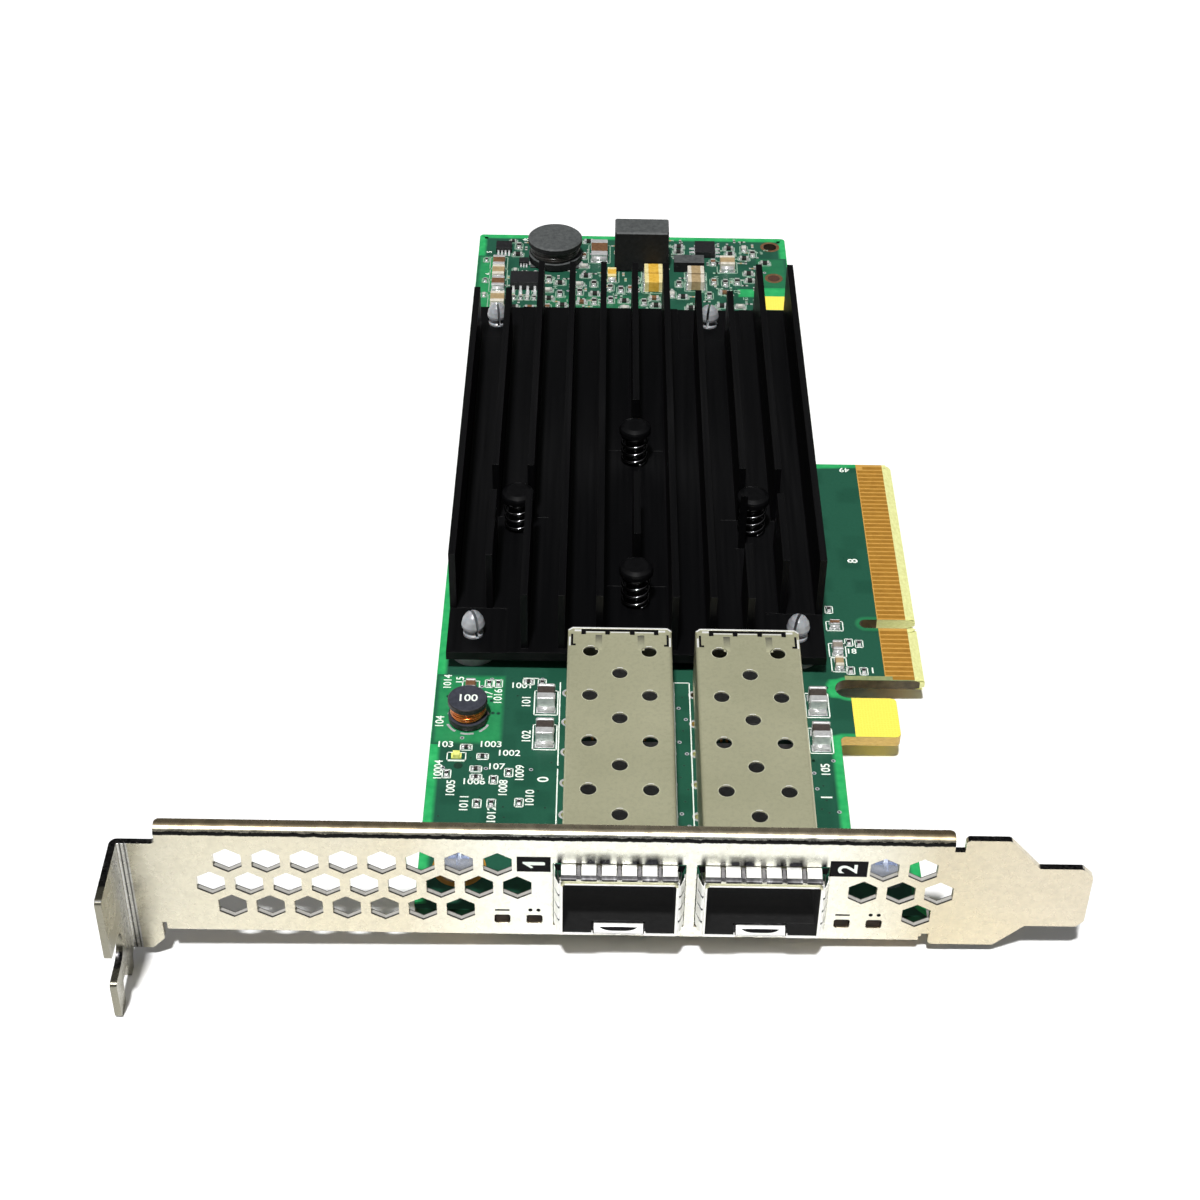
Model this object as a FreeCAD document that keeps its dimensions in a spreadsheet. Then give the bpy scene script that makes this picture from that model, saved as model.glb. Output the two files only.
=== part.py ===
import FreeCAD, Part
import Sketcher
import math
import os

# ---------------------------------------------------------------------------
# Dual-port pluggable-optics network interface card, low-profile board with a
# full-height bracket.  All lengths are millimetres.
#
# Card axes used for every number below: X runs across the board from its plain
# long edge towards the edge connector, Y runs from the bracket into the
# machine, Z rises from the component face of the board.  The finished
# sub-parts are then placed so that the origin is under the middle of the card
# at the lowest point of the bracket, with +Z up.
# ---------------------------------------------------------------------------

V = FreeCAD.Vector
doc = FreeCAD.newDocument("network_card")
sheet = doc.addObject("Spreadsheet::Sheet", "Dimensions")

ROWS = [
    ("origin_dx", -23.61, "placement of every sub-part along X"),
    ("origin_dy", -78.20, "placement of every sub-part along Y"),
    ("origin_dz", 8.40, "placement of every sub-part along Z"),
    # board
    ("board_length", 167.65, "low-profile board length"),
    ("board_body", 56.05, "board width behind the bracket area"),
    ("board_tip", 68.90, "board width at the edge contacts"),
    ("board_thick", 1.57, "board thickness"),
    ("foot_edge", 64.35, "board width beside the bracket"),
    ("foot_depth", 13.0, "depth of the wide area beside the bracket"),
    ("tab_start", 32.9, "near side of the retention tab"),
    ("tab_end", 40.95, "far side of the retention tab"),
    ("tongue_start", 44.70, "near end of the edge connector"),
    ("key_near", 56.20, "near side of the key notch"),
    ("key_far", 58.10, "far side of the key notch"),
    ("key_root", 60.65, "closed end of the key notch"),
    ("tongue_end", 96.75, "far end of the edge connector"),
    ("bevel_run", 1.40, "lead-in bevel length"),
    ("bevel_rise", 0.45, "lead-in bevel height"),
    # bracket
    ("steel", 0.86, "bracket sheet thickness"),
    ("face_gap", 0.57, "bracket inner face to board edge"),
    ("bend_out", 1.10, "outer bend radius of the rails"),
    ("strip_low", -3.45, "lower edge of the bracket strip"),
    ("strip_high", 14.97, "upper edge of the bracket strip"),
    ("rail_depth", 1.80, "depth of the folded rails from the outer face"),
    ("rail_left", -30.90, "rail start"),
    ("rail_right", 66.20, "upper rail end"),
    ("rail_right_low", 63.30, "lower rail end"),
    ("ear_low", -6.27, "lower edge of the ear"),
    ("ear_high", 12.35, "upper edge of the ear"),
    ("tab_plane", -36.40, "outer plane of the mounting tab"),
    ("tongue_tip", 83.62, "end of the bracket tongue"),
    ("tab_front", -11.25, "front edge of the mounting tab"),
    ("tab_low", -8.40, "lower edge of the mounting tab"),
    ("slot_wide", 4.42, "mounting screw slot width"),
    ("slot_centre", -7.78, "screw centre in front of the board edge"),
    ("hex_flat", 3.50, "vent hexagon across flats"),
    ("hex_pitch", 4.72, "vent hexagon pitch"),
    # ports
    ("port_centre_a", 25.63, "centre of the first port"),
    ("port_centre_b", 43.23, "centre of the second port"),
    ("cage_width", 14.35, "cage outside width"),
    ("cage_high", 9.10, "cage outside height over the board"),
    ("cage_front", -3.90, "cage front edge"),
    ("cage_rear", 44.10, "cage rear wall"),
    ("cage_sheet", 0.25, "cage sheet thickness"),
    ("vent_dia", 2.10, "cage vent diameter"),
    ("vent_pitch", 4.49, "cage vent row pitch"),
    ("window_wide", 16.30, "bracket port window width"),
    ("window_low", -1.00, "bracket port window lower edge"),
    ("window_high", 10.08, "bracket port window upper edge"),
    # heatsink
    ("sink_left", 1.30, "heatsink side"),
    ("sink_right", 54.80, "heatsink other side"),
    ("sink_near", 45.40, "heatsink near edge"),
    ("sink_far", 136.90, "heatsink far edge"),
    ("sink_low", 2.10, "underside of the heatsink base"),
    ("sink_top", 3.60, "upper face of the heatsink base"),
    ("fin_top", 13.30, "fin height over the board"),
    ("fin_thick", 1.00, "fin thickness"),
    ("fin_pitch", 5.25, "fin pitch"),
    ("fin_near", 46.30, "near end of the fins"),
    ("fin_far", 135.90, "far end of the fins"),
    ("pin_x", 27.95, "centre of the push-pin pattern"),
    ("pin_y", 74.50, "centre of the push-pin pattern"),
    ("pin_half", 17.50, "half diagonal of the push-pin pattern"),
]
for i, (alias, value, note) in enumerate(ROWS):
    row = str(i + 1)
    sheet.set("A" + row, note)
    sheet.set("B" + row, repr(value))
    sheet.setAlias("B" + row, alias)
doc.recompute()
D = dict((alias, float(value)) for alias, value, note in ROWS)


class Q:
    """A number together with the sheet expression that gives it."""

    def __init__(self, v, e):
        self.v = float(v)
        self.e = e

    def __add__(self, o):
        o = q(o)
        return Q(self.v + o.v, "(%s + %s)" % (self.e, o.e))

    def __radd__(self, o):
        return q(o) + self

    def __sub__(self, o):
        o = q(o)
        return Q(self.v - o.v, "(%s - %s)" % (self.e, o.e))

    def __rsub__(self, o):
        return q(o) - self

    def __mul__(self, o):
        o = q(o)
        return Q(self.v * o.v, "(%s * %s)" % (self.e, o.e))

    def __rmul__(self, o):
        return q(o) * self

    def __truediv__(self, o):
        o = q(o)
        return Q(self.v / o.v, "(%s / %s)" % (self.e, o.e))

    def __neg__(self):
        return Q(-self.v, "(0 - %s)" % self.e)


def q(x):
    return x if isinstance(x, Q) else Q(x, "(%r)" % float(x))


def c(alias):
    return Q(D[alias], "Dimensions." + alias)


SUBPARTS = []


def keep(obj, label):
    obj.Label = label
    obj.setExpression("Placement.Base.x", "Dimensions.origin_dx")
    obj.setExpression("Placement.Base.y", "Dimensions.origin_dy")
    obj.setExpression("Placement.Base.z", "Dimensions.origin_dz")
    SUBPARTS.append(obj)
    return obj


def new_body(label):
    b = doc.addObject("PartDesign::Body", "B_" + label)
    return keep(b, label)


def plane(b, role):
    for f in b.Origin.OriginFeatures:
        if f.Role == role:
            return f
    raise RuntimeError("no plane " + role)


COUNT = [0]


def name(kind):
    COUNT[0] += 1
    return "%s%03d" % (kind, COUNT[0])


def sketch(b, role, offset=0.0):
    s = b.newObject("Sketcher::SketchObject", name("Sketch"))
    s.AttachmentSupport = [(plane(b, role), "")]
    s.MapMode = "FlatFace"
    o = q(offset)
    s.AttachmentOffset = FreeCAD.Placement(V(0, 0, o.v), FreeCAD.Rotation())
    if isinstance(offset, Q):
        s.setExpression("AttachmentOffset.Base.z", offset.e)
    return s


def bind(s, kind, g, pos, value):
    value = q(value)
    if abs(value.v) < 1e-9:
        s.addConstraint(Sketcher.Constraint("PointOnObject", g, pos, -2 if kind == "DistanceX" else -1))
        return
    k = s.addConstraint(Sketcher.Constraint(kind, -1, 1, g, pos, value.v))
    if "Dimensions" in value.e:
        s.setExpression("Constraints[%d]" % k, value.e)


def ring(s, pts):
    """Closed polygon, every corner driven from the sheet."""
    pts = [(q(a), q(b)) for a, b in pts]
    n = len(pts)
    base = s.GeometryCount
    s.addGeometry([Part.LineSegment(V(pts[i][0].v, pts[i][1].v, 0), V(pts[(i + 1) % n][0].v, pts[(i + 1) % n][1].v, 0)) for i in range(n)], False)
    s.addConstraint([Sketcher.Constraint("Coincident", base + i, 2, base + (i + 1) % n, 1) for i in range(n)])
    for i in range(n):
        bind(s, "DistanceX", base + i, 1, pts[i][0])
        bind(s, "DistanceY", base + i, 1, pts[i][1])


def disc(s, x, y, dia):
    x, y, dia = q(x), q(y), q(dia)
    g = s.addGeometry(Part.Circle(V(x.v, y.v, 0), V(0, 0, 1), dia.v / 2), False)
    bind(s, "DistanceX", g, 3, x)
    bind(s, "DistanceY", g, 3, y)
    k = s.addConstraint(Sketcher.Constraint("Diameter", g, dia.v))
    if "Dimensions" in dia.e:
        s.setExpression("Constraints[%d]" % k, dia.e)


def rect(s, x0, y0, x1, y1):
    ring(s, [(x0, y0), (x1, y0), (x1, y1), (x0, y1)])


def loose(s, pts):
    """Closed polygon laid from computed points, for repeated small shapes."""
    n = len(pts)
    base = s.GeometryCount
    s.addGeometry([Part.LineSegment(V(pts[i][0], pts[i][1], 0), V(pts[(i + 1) % n][0], pts[(i + 1) % n][1], 0)) for i in range(n)], False)
    s.addConstraint([Sketcher.Constraint("Coincident", base + i, 2, base + (i + 1) % n, 1) for i in range(n)])


def profile(s, segs):
    """Closed chain of ('L', p, q) and ('A', p, mid, q) pieces."""
    geo = []
    for seg in segs:
        if seg[0] == "L":
            geo.append(Part.LineSegment(V(seg[1][0], seg[1][1], 0), V(seg[2][0], seg[2][1], 0)))
        else:
            geo.append(Part.Arc(V(seg[1][0], seg[1][1], 0), V(seg[2][0], seg[2][1], 0), V(seg[3][0], seg[3][1], 0)))
    s.addGeometry(geo, False)


def pad(b, s, length, reverse=False):
    f = b.newObject("PartDesign::Pad", name("Pad"))
    f.Profile = s
    ln = q(length)
    f.Length = ln.v
    if "Dimensions" in ln.e:
        f.setExpression("Length", ln.e)
    f.Reversed = reverse
    s.Visibility = False
    doc.recompute()
    return f


def pocket(b, s, length, reverse=False, through=False, both=False):
    before = b.Shape.Volume
    f = b.newObject("PartDesign::Pocket", name("Pocket"))
    f.Profile = s
    ln = q(length)
    f.Length = ln.v
    if "Dimensions" in ln.e:
        f.setExpression("Length", ln.e)
    if through:
        f.Type = 1
    f.Reversed = reverse
    f.Midplane = both
    doc.recompute()
    if b.Shape.Volume >= before - 1e-6:
        raise RuntimeError("%s cuts nothing in %s" % (f.Name, b.Label))
    return f


def fillet(b, test, radius, kind="PartDesign::Fillet"):
    tip = b.Tip
    names = []
    for i, e in enumerate(tip.Shape.Edges):
        if test(e):
            names.append("Edge%d" % (i + 1))
    if not names:
        raise RuntimeError("no edges to round on " + b.Label)
    f = b.newObject(kind, name("Round"))
    f.Base = (tip, names)
    if kind.endswith("Fillet"):
        f.Radius = radius
    else:
        f.Size = radius
    doc.recompute()
    return f


def along(e, axis):
    if not isinstance(e.Curve, (Part.Line, Part.LineSegment)):
        return False
    d = e.Curve.Direction
    return abs(abs((d.x, d.y, d.z)[axis]) - 1) < 1e-6


def at(e, x=None, y=None, z=None, tol=1e-3):
    m = e.valueAt((e.FirstParameter + e.LastParameter) / 2)
    return ((x is None or abs(m.x - x) < tol) and (y is None or abs(m.y - y) < tol)
            and (z is None or abs(m.z - z) < tol))


def box(x0, x1, y0, y1, z0, z1):
    return Part.makeBox(x1 - x0, y1 - y0, z1 - z0, V(x0, y0, z0))


def feature(label, shape):
    """A sub-part set directly from Part's functions."""
    f = doc.addObject("Part::Feature", "F_" + label)
    f.Shape = shape
    return keep(f, label)


def lathe(pts, x, y):
    """Solid of revolution about a vertical axis from (radius, z) points."""
    ps = [V(x + r, y, z) for r, z in pts]
    ps.append(ps[0])
    face = Part.Face(Part.makePolygon(ps))
    return face.revolve(V(x, y, 0), V(0, 0, 1), 360)


PORTS = (("1", c("port_centre_a")), ("2", c("port_centre_b")))
SCREWS = ((5.27, 7.30), (59.70, 7.30))
SNAPS = ((4.95, 49.80), (50.95, 50.10), (4.75, 132.0), (40.85, 132.4))
PINS = ((c("pin_x"), c("pin_y") + c("pin_half")), (c("pin_x"), c("pin_y") - c("pin_half")),
        (c("pin_x") - c("pin_half"), c("pin_y")), (c("pin_x") + c("pin_half"), c("pin_y")))
CAGE_PINS_Y = (5.0, 11.0, 17.0, 23.0, 29.0, 35.0, 41.0)

# ---------------------------------------------------------------- the board
board = new_body("circuit_board")
s = sketch(board, "XY_Plane", -c("board_thick"))
ring(s, [
    (0, 0), (c("foot_edge"), 0), (c("foot_edge"), c("foot_depth")), (c("board_body"), c("foot_depth")),
    (c("board_body"), c("tab_start")), (64.40, c("tab_start")), (64.40, c("tab_end")),
    (c("board_body") + 1.875, c("tab_end")), (c("board_body") + 1.875, c("tongue_start")),
    (c("board_tip"), c("tongue_start")), (c("board_tip"), c("key_near")),
    (c("key_root") + 0.95, c("key_near")), (c("key_root") + 0.95, c("key_far")),
    (c("board_tip"), c("key_far")), (c("board_tip"), c("tongue_end")),
    (c("board_body"), c("tongue_end")), (c("board_body"), c("board_length")), (0, c("board_length"))])
pad(board, s, c("board_thick"))
# closed ends of the key notch and of the wide slot are round
s = sketch(board, "XY_Plane", 1.0)
disc(s, c("key_root") + 0.95, (c("key_near") + c("key_far")) / 2, 1.90)
disc(s, c("board_body") + 1.875, (c("tab_end") + c("tongue_start")) / 2, 3.75)
pocket(board, s, 5.0)
# lead-in bevel on both faces of the edge connector, cut along the connector
s = sketch(board, "XZ_Plane", -(c("tongue_end") + 1.0))
ring(s, [(c("board_tip") + 0.5, 0.5), (c("board_tip") - c("bevel_run"), 0.5), (c("board_tip") - c("bevel_run"), 0),
         (c("board_tip"), -c("bevel_rise")), (c("board_tip") + 0.5, -c("bevel_rise"))])
pocket(board, s, 56.0, reverse=True)
s = sketch(board, "XZ_Plane", -(c("tongue_end") + 1.0))
ring(s, [(c("board_tip") + 0.5, -c("board_thick") - 0.5), (c("board_tip") + 0.5, c("bevel_rise") - c("board_thick")),
         (c("board_tip"), c("bevel_rise") - c("board_thick")), (c("board_tip") - c("bevel_run"), -c("board_thick")),
         (c("board_tip") - c("bevel_run"), -c("board_thick") - 0.5)])
pocket(board, s, 56.0, reverse=True)
fillet(board, lambda e: along(e, 2) and (at(e, x=D["board_tip"] - 0.0, y=D["tongue_end"], tol=0.02)
       or at(e, x=64.40, y=D["tab_start"]) or at(e, x=64.40, y=D["tab_end"])
       or at(e, x=D["foot_edge"], y=D["foot_depth"]) or at(e, x=D["board_body"], y=D["foot_depth"])
       or at(e, x=D["board_body"], y=D["tab_start"]) or at(e, x=0, y=0) or at(e, x=0, y=D["board_length"])
       or at(e, x=D["board_body"], y=D["board_length"])), 0.8)
# drilled holes: bracket screws, push pins, snap standoffs, tooling, cage pins
s = sketch(board, "XY_Plane", 1.0)
for x, y in SCREWS:
    disc(s, x, y, 3.2)
for x, y in PINS:
    disc(s, x, y, 3.1)
for x, y in SNAPS:
    disc(s, x, y, 3.1)
disc(s, 53.2, 164.6, 2.4)
disc(s, 53.35, 153.6, 2.2)
disc(s, 4.05, 26.05, 0.95)
pocket(board, s, 5.0)
s = sketch(board, "XY_Plane", 1.0)
for tag, pc in PORTS:
    for side in (-1, 1):
        for y in CAGE_PINS_Y:
            disc(s, pc + side * 7.05, y, 1.05)
pocket(board, s, 5.0)

# ---------------------------------------------------------------- edge contacts
thick = D["board_thick"]
pads = []
for i in range(49):
    # 1.00 mm pitch, 11 contacts before the key notch and 38 after it
    y = (D["key_near"] - 11.65 + 0.65 + i * 1.0) if i < 11 else (D["key_far"] + 0.65 + (i - 11) * 1.0)
    short = i in (0, 48)
    x0 = 63.45 + (0.9 if short else 0.0)
    for z in (0.0, -thick - 0.05):
        pads.append(box(x0, 67.45, y - 0.35, y + 0.35, z, z + 0.05))
feature("edge_contacts", Part.makeCompound(pads))

# ---------------------------------------------------------------- bracket
steel = c("steel")
inner = -c("face_gap")
outer = inner - steel
br = new_body("bracket")
s = sketch(br, "XZ_Plane", c("face_gap"))
ring(s, [
    (c("tab_plane") + 0.98, c("ear_low")), (-33.05, c("ear_low")), (-31.45, -4.55), (-31.45, -1.55),
    (c("rail_left"), -1.55), (c("rail_left"), c("strip_low") + c("bend_out")),
    (c("rail_right_low"), c("strip_low") + c("bend_out")), (c("rail_right_low"), -1.60),
    (64.55, -1.60), (64.55, c("strip_low")), (72.75, c("strip_low")), (76.35, 0.10),
    (c("tongue_tip") - 0.9, 0.10), (c("tongue_tip"), 1.10), (c("tongue_tip"), 8.9),
    (c("tongue_tip") - 1.4, 10.29), (76.95, 10.29),
    (72.85, c("strip_high")), (67.45, c("strip_high")), (67.45, 13.0), (c("rail_right"), 13.0),
    (c("rail_right"), c("strip_high") - c("bend_out")), (c("rail_left"), c("strip_high") - c("bend_out")),
    (c("rail_left"), c("ear_high")), (c("tab_plane") + 0.98, c("ear_high"))])
pad(br, s, steel)
if abs(br.Tip.Shape.BoundBox.YMin - (inner.v - steel.v)) > 0.01:
    raise RuntimeError("bracket face on the wrong side")
R, t = D["bend_out"], D["steel"]
yo = outer.v
k7 = math.sqrt(0.5)
for low in (False, True):
    ze = D["strip_low"] if low else D["strip_high"]
    sg = -1 if low else 1
    zc = ze - sg * R
    ye = yo + D["rail_depth"]
    cy = yo + R
    s = sketch(br, "YZ_Plane", c("rail_left"))
    profile(s, [
        ("A", (yo, zc), (cy - R * k7, zc + sg * R * k7), (cy, ze)),
        ("L", (cy, ze), (ye, ze)),
        ("L", (ye, ze), (ye, ze - sg * t)),
        ("L", (ye, ze - sg * t), (cy, ze - sg * t)),
        ("A", (cy, ze - sg * t), (cy - (R - t) * k7, zc + sg * (R - t) * k7), (yo + t, zc)),
        ("L", (yo + t, zc), (yo, zc))])
    pad(br, s, (c("rail_right_low") if low else c("rail_right")) - c("rail_left"))
# mounting tab folded forward at the ear
tp = D["tab_plane"]
RB = 0.98
bx, by = tp + RB, inner.v - RB
s = sketch(br, "XY_Plane", c("ear_low"))
profile(s, [
    ("A", (bx, inner.v), (bx - RB * k7, by + RB * k7), (tp, by)),
    ("L", (tp, by), (tp + t, by)),
    ("A", (tp + t, by), (bx - (RB - t) * k7, by + (RB - t) * k7), (bx, inner.v - t)),
    ("L", (bx, inner.v - t), (bx, inner.v))])
pad(br, s, c("ear_high") - c("ear_low"))
s = sketch(br, "YZ_Plane", c("tab_plane"))
half = D["slot_wide"] / 2
ring(s, [
    (by, c("ear_high")), (c("tab_front"), c("ear_high")), (c("tab_front"), 0.5 * c("slot_wide")),
    (c("slot_centre"), 0.5 * c("slot_wide")), (c("slot_centre"), -0.5 * c("slot_wide")),
    (c("tab_front"), -0.5 * c("slot_wide")), (c("tab_front"), c("tab_low")),
    (c("tab_front") + 2.6, c("tab_low")), (c("tab_front") + 3.1, -5.0), (-5.6, -5.0),
    (-4.3, c("tab_low")), (-3.1, c("tab_low")), (-2.35, c("ear_low") - 0.3), (by, c("ear_low"))])
pad(br, s, steel)
s = sketch(br, "YZ_Plane", c("tab_plane") - 1.0)
disc(s, c("slot_centre"), 0, c("slot_wide"))
pocket(br, s, 3.0, reverse=True)
fillet(br, lambda e: along(e, 0) and (at(e, y=D["tab_front"], z=half) or at(e, y=D["tab_front"], z=-half)
       or at(e, y=D["tab_front"], z=D["tab_low"]) or at(e, y=D["tab_front"] + 2.6, z=D["tab_low"])
       or at(e, y=D["tab_front"], z=D["ear_high"])), 0.7)
# tongues under the board that take the two board screws
for x, y in SCREWS:
    s = sketch(br, "XY_Plane", -(c("board_thick") + steel))
    rect(s, x - 4.0, outer + 0.3, x + 4.0, y + 4.2)
    pad(br, s, steel)
s = sketch(br, "XY_Plane", 0.0)
for x, y in SCREWS:
    disc(s, x, y, 2.55)
pocket(br, s, 3.0)
# port windows
s = sketch(br, "XZ_Plane", c("face_gap") + 4.0)
for tag, pc in PORTS:
    rect(s, pc - c("window_wide") / 2, c("window_low"), pc + c("window_wide") / 2, c("window_high"))
pocket(br, s, 5.2)
# activity and link windows
s = sketch(br, "XZ_Plane", c("face_gap") + 4.0)
for x in (11.17, 15.17, 53.50, 57.50):
    rect(s, x - 1.0, -0.72, x + 1.0, 0.76)
pocket(br, s, 5.2)
fillet(br, lambda e: along(e, 1) and any(abs(abs(e.valueAt(e.FirstParameter).x - x) - 1.0) < 1e-3 for x in (11.17, 15.17, 53.50, 57.50))
       and (abs(e.valueAt(e.FirstParameter).z + 0.72) < 1e-3 or abs(e.valueAt(e.FirstParameter).z - 0.76) < 1e-3), 0.35)
# hexagonal vents, points up
HEX = [(-22.34 + D["hex_pitch"] * k, 9.64) for k in range(8)]
HEX += [(-24.68 + D["hex_pitch"] * k, 5.62) for k in range(9)]
HEX += [(-22.30 + D["hex_pitch"] * k, 1.60) for k in range(7)]
HEX += [(57.98, 9.64), (62.72, 9.64), (55.64, 5.62), (60.36, 5.62), (65.05, 5.62), (62.62, 1.62)]
for group in (HEX[:8], HEX[8:17], HEX[17:24], HEX[24:]):
    s = sketch(br, "XZ_Plane", c("face_gap") + 4.0)
    for x, z in group:
        rr = D["hex_flat"] / math.sqrt(3.0)
        loose(s, [(x + rr * math.sin(a * math.pi / 3), z + rr * math.cos(a * math.pi / 3)) for a in range(6)])
    pocket(br, s, 5.2)
fillet(br, lambda e: along(e, 2) and (at(e, x=D["rail_left"], y=yo + D["rail_depth"]) or at(e, x=D["rail_right"], y=yo + D["rail_depth"])
       or at(e, x=D["rail_right_low"], y=yo + D["rail_depth"])), 0.65)
fillet(br, lambda e: along(e, 1) and (at(e, x=D["tongue_tip"] - 1.4, z=10.29) or at(e, x=D["tongue_tip"], z=8.9)
       or at(e, x=D["tongue_tip"], z=1.10) or at(e, x=D["tongue_tip"] - 0.9, z=0.10)
       or at(e, x=72.85, z=D["strip_high"]) or at(e, x=72.75, z=D["strip_low"]) or at(e, x=-33.05, z=D["ear_low"])
       or at(e, x=-31.45, z=-4.55) or at(e, x=67.45, z=D["strip_high"]) or at(e, x=64.55, z=D["strip_low"])
       or at(e, x=D["rail_left"], z=D["ear_high"])), 0.6)

# ---------------------------------------------------------------- ports
w, hgt, sh_t = D["cage_width"], D["cage_high"], D["cage_sheet"]
for tag, pc in PORTS:
    cg = new_body("port_cage_" + tag)
    s = sketch(cg, "XZ_Plane", -c("cage_rear"))
    hw = c("cage_width") / 2
    ct = c("cage_sheet")
    ring(s, [(pc - hw, 0), (pc - hw, c("cage_high")), (pc + hw, c("cage_high")), (pc + hw, 0),
             (pc + hw - ct, 0), (pc + hw - ct, c("cage_high") - ct), (pc - hw + ct, c("cage_high") - ct), (pc - hw + ct, 0)])
    pad(cg, s, c("cage_rear") - c("cage_front"))
    if abs(cg.Tip.Shape.BoundBox.YMin - D["cage_front"]) > 0.01:
        raise RuntimeError("cage on the wrong side")
    xl, xr = pc.v - w / 2, pc.v + w / 2
    fillet(cg, lambda e: along(e, 1) and at(e, z=hgt) and (at(e, x=xl) or at(e, x=xr)), 0.55)
    fillet(cg, lambda e: along(e, 1) and at(e, z=hgt - sh_t), 0.30)
    # rear wall, folded down from the top between the sides
    s = sketch(cg, "XZ_Plane", -c("cage_rear"))
    rect(s, pc - hw + ct, 1.2, pc + hw - ct, c("cage_high") - ct)
    pad(cg, s, ct)
    # vents through the top: rows of two and of one in turn
    s = sketch(cg, "XY_Plane", c("cage_high") + 1.0)
    for k in range(8):
        y = 39.50 - k * c("vent_pitch")
        for dx in ((-4.0, 4.0) if k % 2 == 0 else (0.0,)):
            disc(s, pc + dx, y, c("vent_dia"))
    pocket(cg, s, 2.0)
    # relief slots at the rear fold, and two stiffening grooves
    s = sketch(cg, "XY_Plane", c("cage_high") + 1.0)
    for dx in (-5.0, -1.7, 1.7, 5.0):
        rect(s, pc + dx - 0.22, c("cage_rear") - 0.85, pc + dx + 0.22, c("cage_rear") - ct - 0.02)
    pocket(cg, s, 2.0)
    s = sketch(cg, "XY_Plane", c("cage_high") + 1.0)
    for dx in (-2.9, 2.9):
        rect(s, pc + dx - 0.45, c("cage_rear") - 3.6, pc + dx + 0.45, c("cage_rear") - 1.1)
    pocket(cg, s, 1.12)
    # long windows low in the side walls near the rear, over the contacts
    s = sketch(cg, "YZ_Plane", pc - 20.0)
    rect(s, 36.5, 1.0, 41.5, 3.0)
    pocket(cg, s, 40.0, reverse=True)
    # press-fit legs through the board
    s = sketch(cg, "XY_Plane", -(c("board_thick") + 0.55))
    for side in (-1, 1):
        for y in CAGE_PINS_Y:
            xa = pc + side * 7.05
            rect(s, xa - 0.125 + (0.0 if side > 0 else 0.0), y - 0.32, xa + 0.125, y + 0.32)
    pad(cg, s, c("board_thick") + 0.55 + 0.4)

    # lower plate with the latch tongue at its mouth
    fl = new_body("cage_floor_" + tag)
    s = sketch(fl, "XY_Plane", 0.0)
    ring(s, [(pc - hw + ct, c("cage_front")), (pc - 3.15, c("cage_front")), (pc - 3.15, c("cage_front") + 2.2),
             (pc - 2.85, c("cage_front") + 2.2), (pc - 2.85, c("cage_front")), (pc + 2.85, c("cage_front")),
             (pc + 2.85, c("cage_front") + 2.2), (pc + 3.15, c("cage_front") + 2.2), (pc + 3.15, c("cage_front")),
             (pc + hw - ct, c("cage_front")), (pc + hw - ct, 31.0), (pc - hw + ct, 31.0)])
    pad(fl, s, ct)
    s = sketch(fl, "YZ_Plane", pc - 2.85)
    ring(s, [(c("cage_front"), ct), (c("cage_front") + 0.05, ct + 0.45), (c("cage_front") + 1.9, ct + 0.25), (c("cage_front") + 2.2, ct)])
    pad(fl, s, 5.7)
    s = sketch(fl, "XY_Plane", 3.0)
    ring(s, [(pc - 2.1, c("cage_front") + 0.55), (pc + 2.1, c("cage_front") + 0.55), (pc + 1.5, c("cage_front") + 1.15), (pc - 1.5, c("cage_front") + 1.15)])
    pocket(fl, s, 6.0)
    s = sketch(fl, "XY_Plane", 3.0)
    ring(s, [(pc - 1.3, 4.2), (pc + 1.3, 4.2), (pc, 6.4)])
    pocket(fl, s, 6.0)

    # spring collar that seals the cage to the bracket window
    def strip(path, th, width, frame):
        """Thin bent strip: path of (outwards, y) points, extruded by width."""
        n = len(path)
        left, right = [], []
        for i in range(n):
            a = path[max(i - 1, 0)]
            b_ = path[min(i + 1, n - 1)]
            du, dv = b_[0] - a[0], b_[1] - a[1]
            ll = math.hypot(du, dv)
            nu, nv = -dv / ll * th / 2, du / ll * th / 2
            left.append((path[i][0] + nu, path[i][1] + nv))
            right.append((path[i][0] - nu, path[i][1] - nv))
        loop = left + right[::-1]
        pts = [frame(u, v) for u, v in loop]
        pts.append(pts[0])
        face = Part.Face(Part.makePolygon(pts))
        return face, width

    band = 0.14
    x0, x1 = xl - band, xr + band
    z0, z1 = -band, hgt + band
    y0, y1 = -3.55, -2.95
    collar = box(x0, x1, y0, y1, z0, z1).cut(box(xl, xr, y0 - 1, y1 + 1, 0.0, hgt))
    path = [(0.06, -3.20), (0.66, -3.22), (0.83, -1.60), (0.62, -0.85), (0.34, -0.42)]
    fingers = []
    cx = pc.v
    for i in range(6):
        xf = cx - 7.15 + 2.43 * i + 0.04
        face, _ = strip(path, 0.12, 2.0, lambda u, v: V(xf, v, hgt + u))
        fingers.append(face.extrude(V(2.03, 0, 0)))
        face, _ = strip(path, 0.12, 2.0, lambda u, v: V(xf, v, -u))
        fingers.append(face.extrude(V(2.03, 0, 0)))
    for i in range(4):
        zf = 0.25 + 2.2 * i
        face, _ = strip(path, 0.12, 1.8, lambda u, v: V(xl - u, v, zf))
        fingers.append(face.extrude(V(0, 0, 1.85)))
        face, _ = strip(path, 0.12, 1.8, lambda u, v: V(xr + u, v, zf))
        fingers.append(face.extrude(V(0, 0, 1.85)))
    collar = collar.fuse(fingers)
    feature("spring_collar_" + tag, collar)

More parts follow.
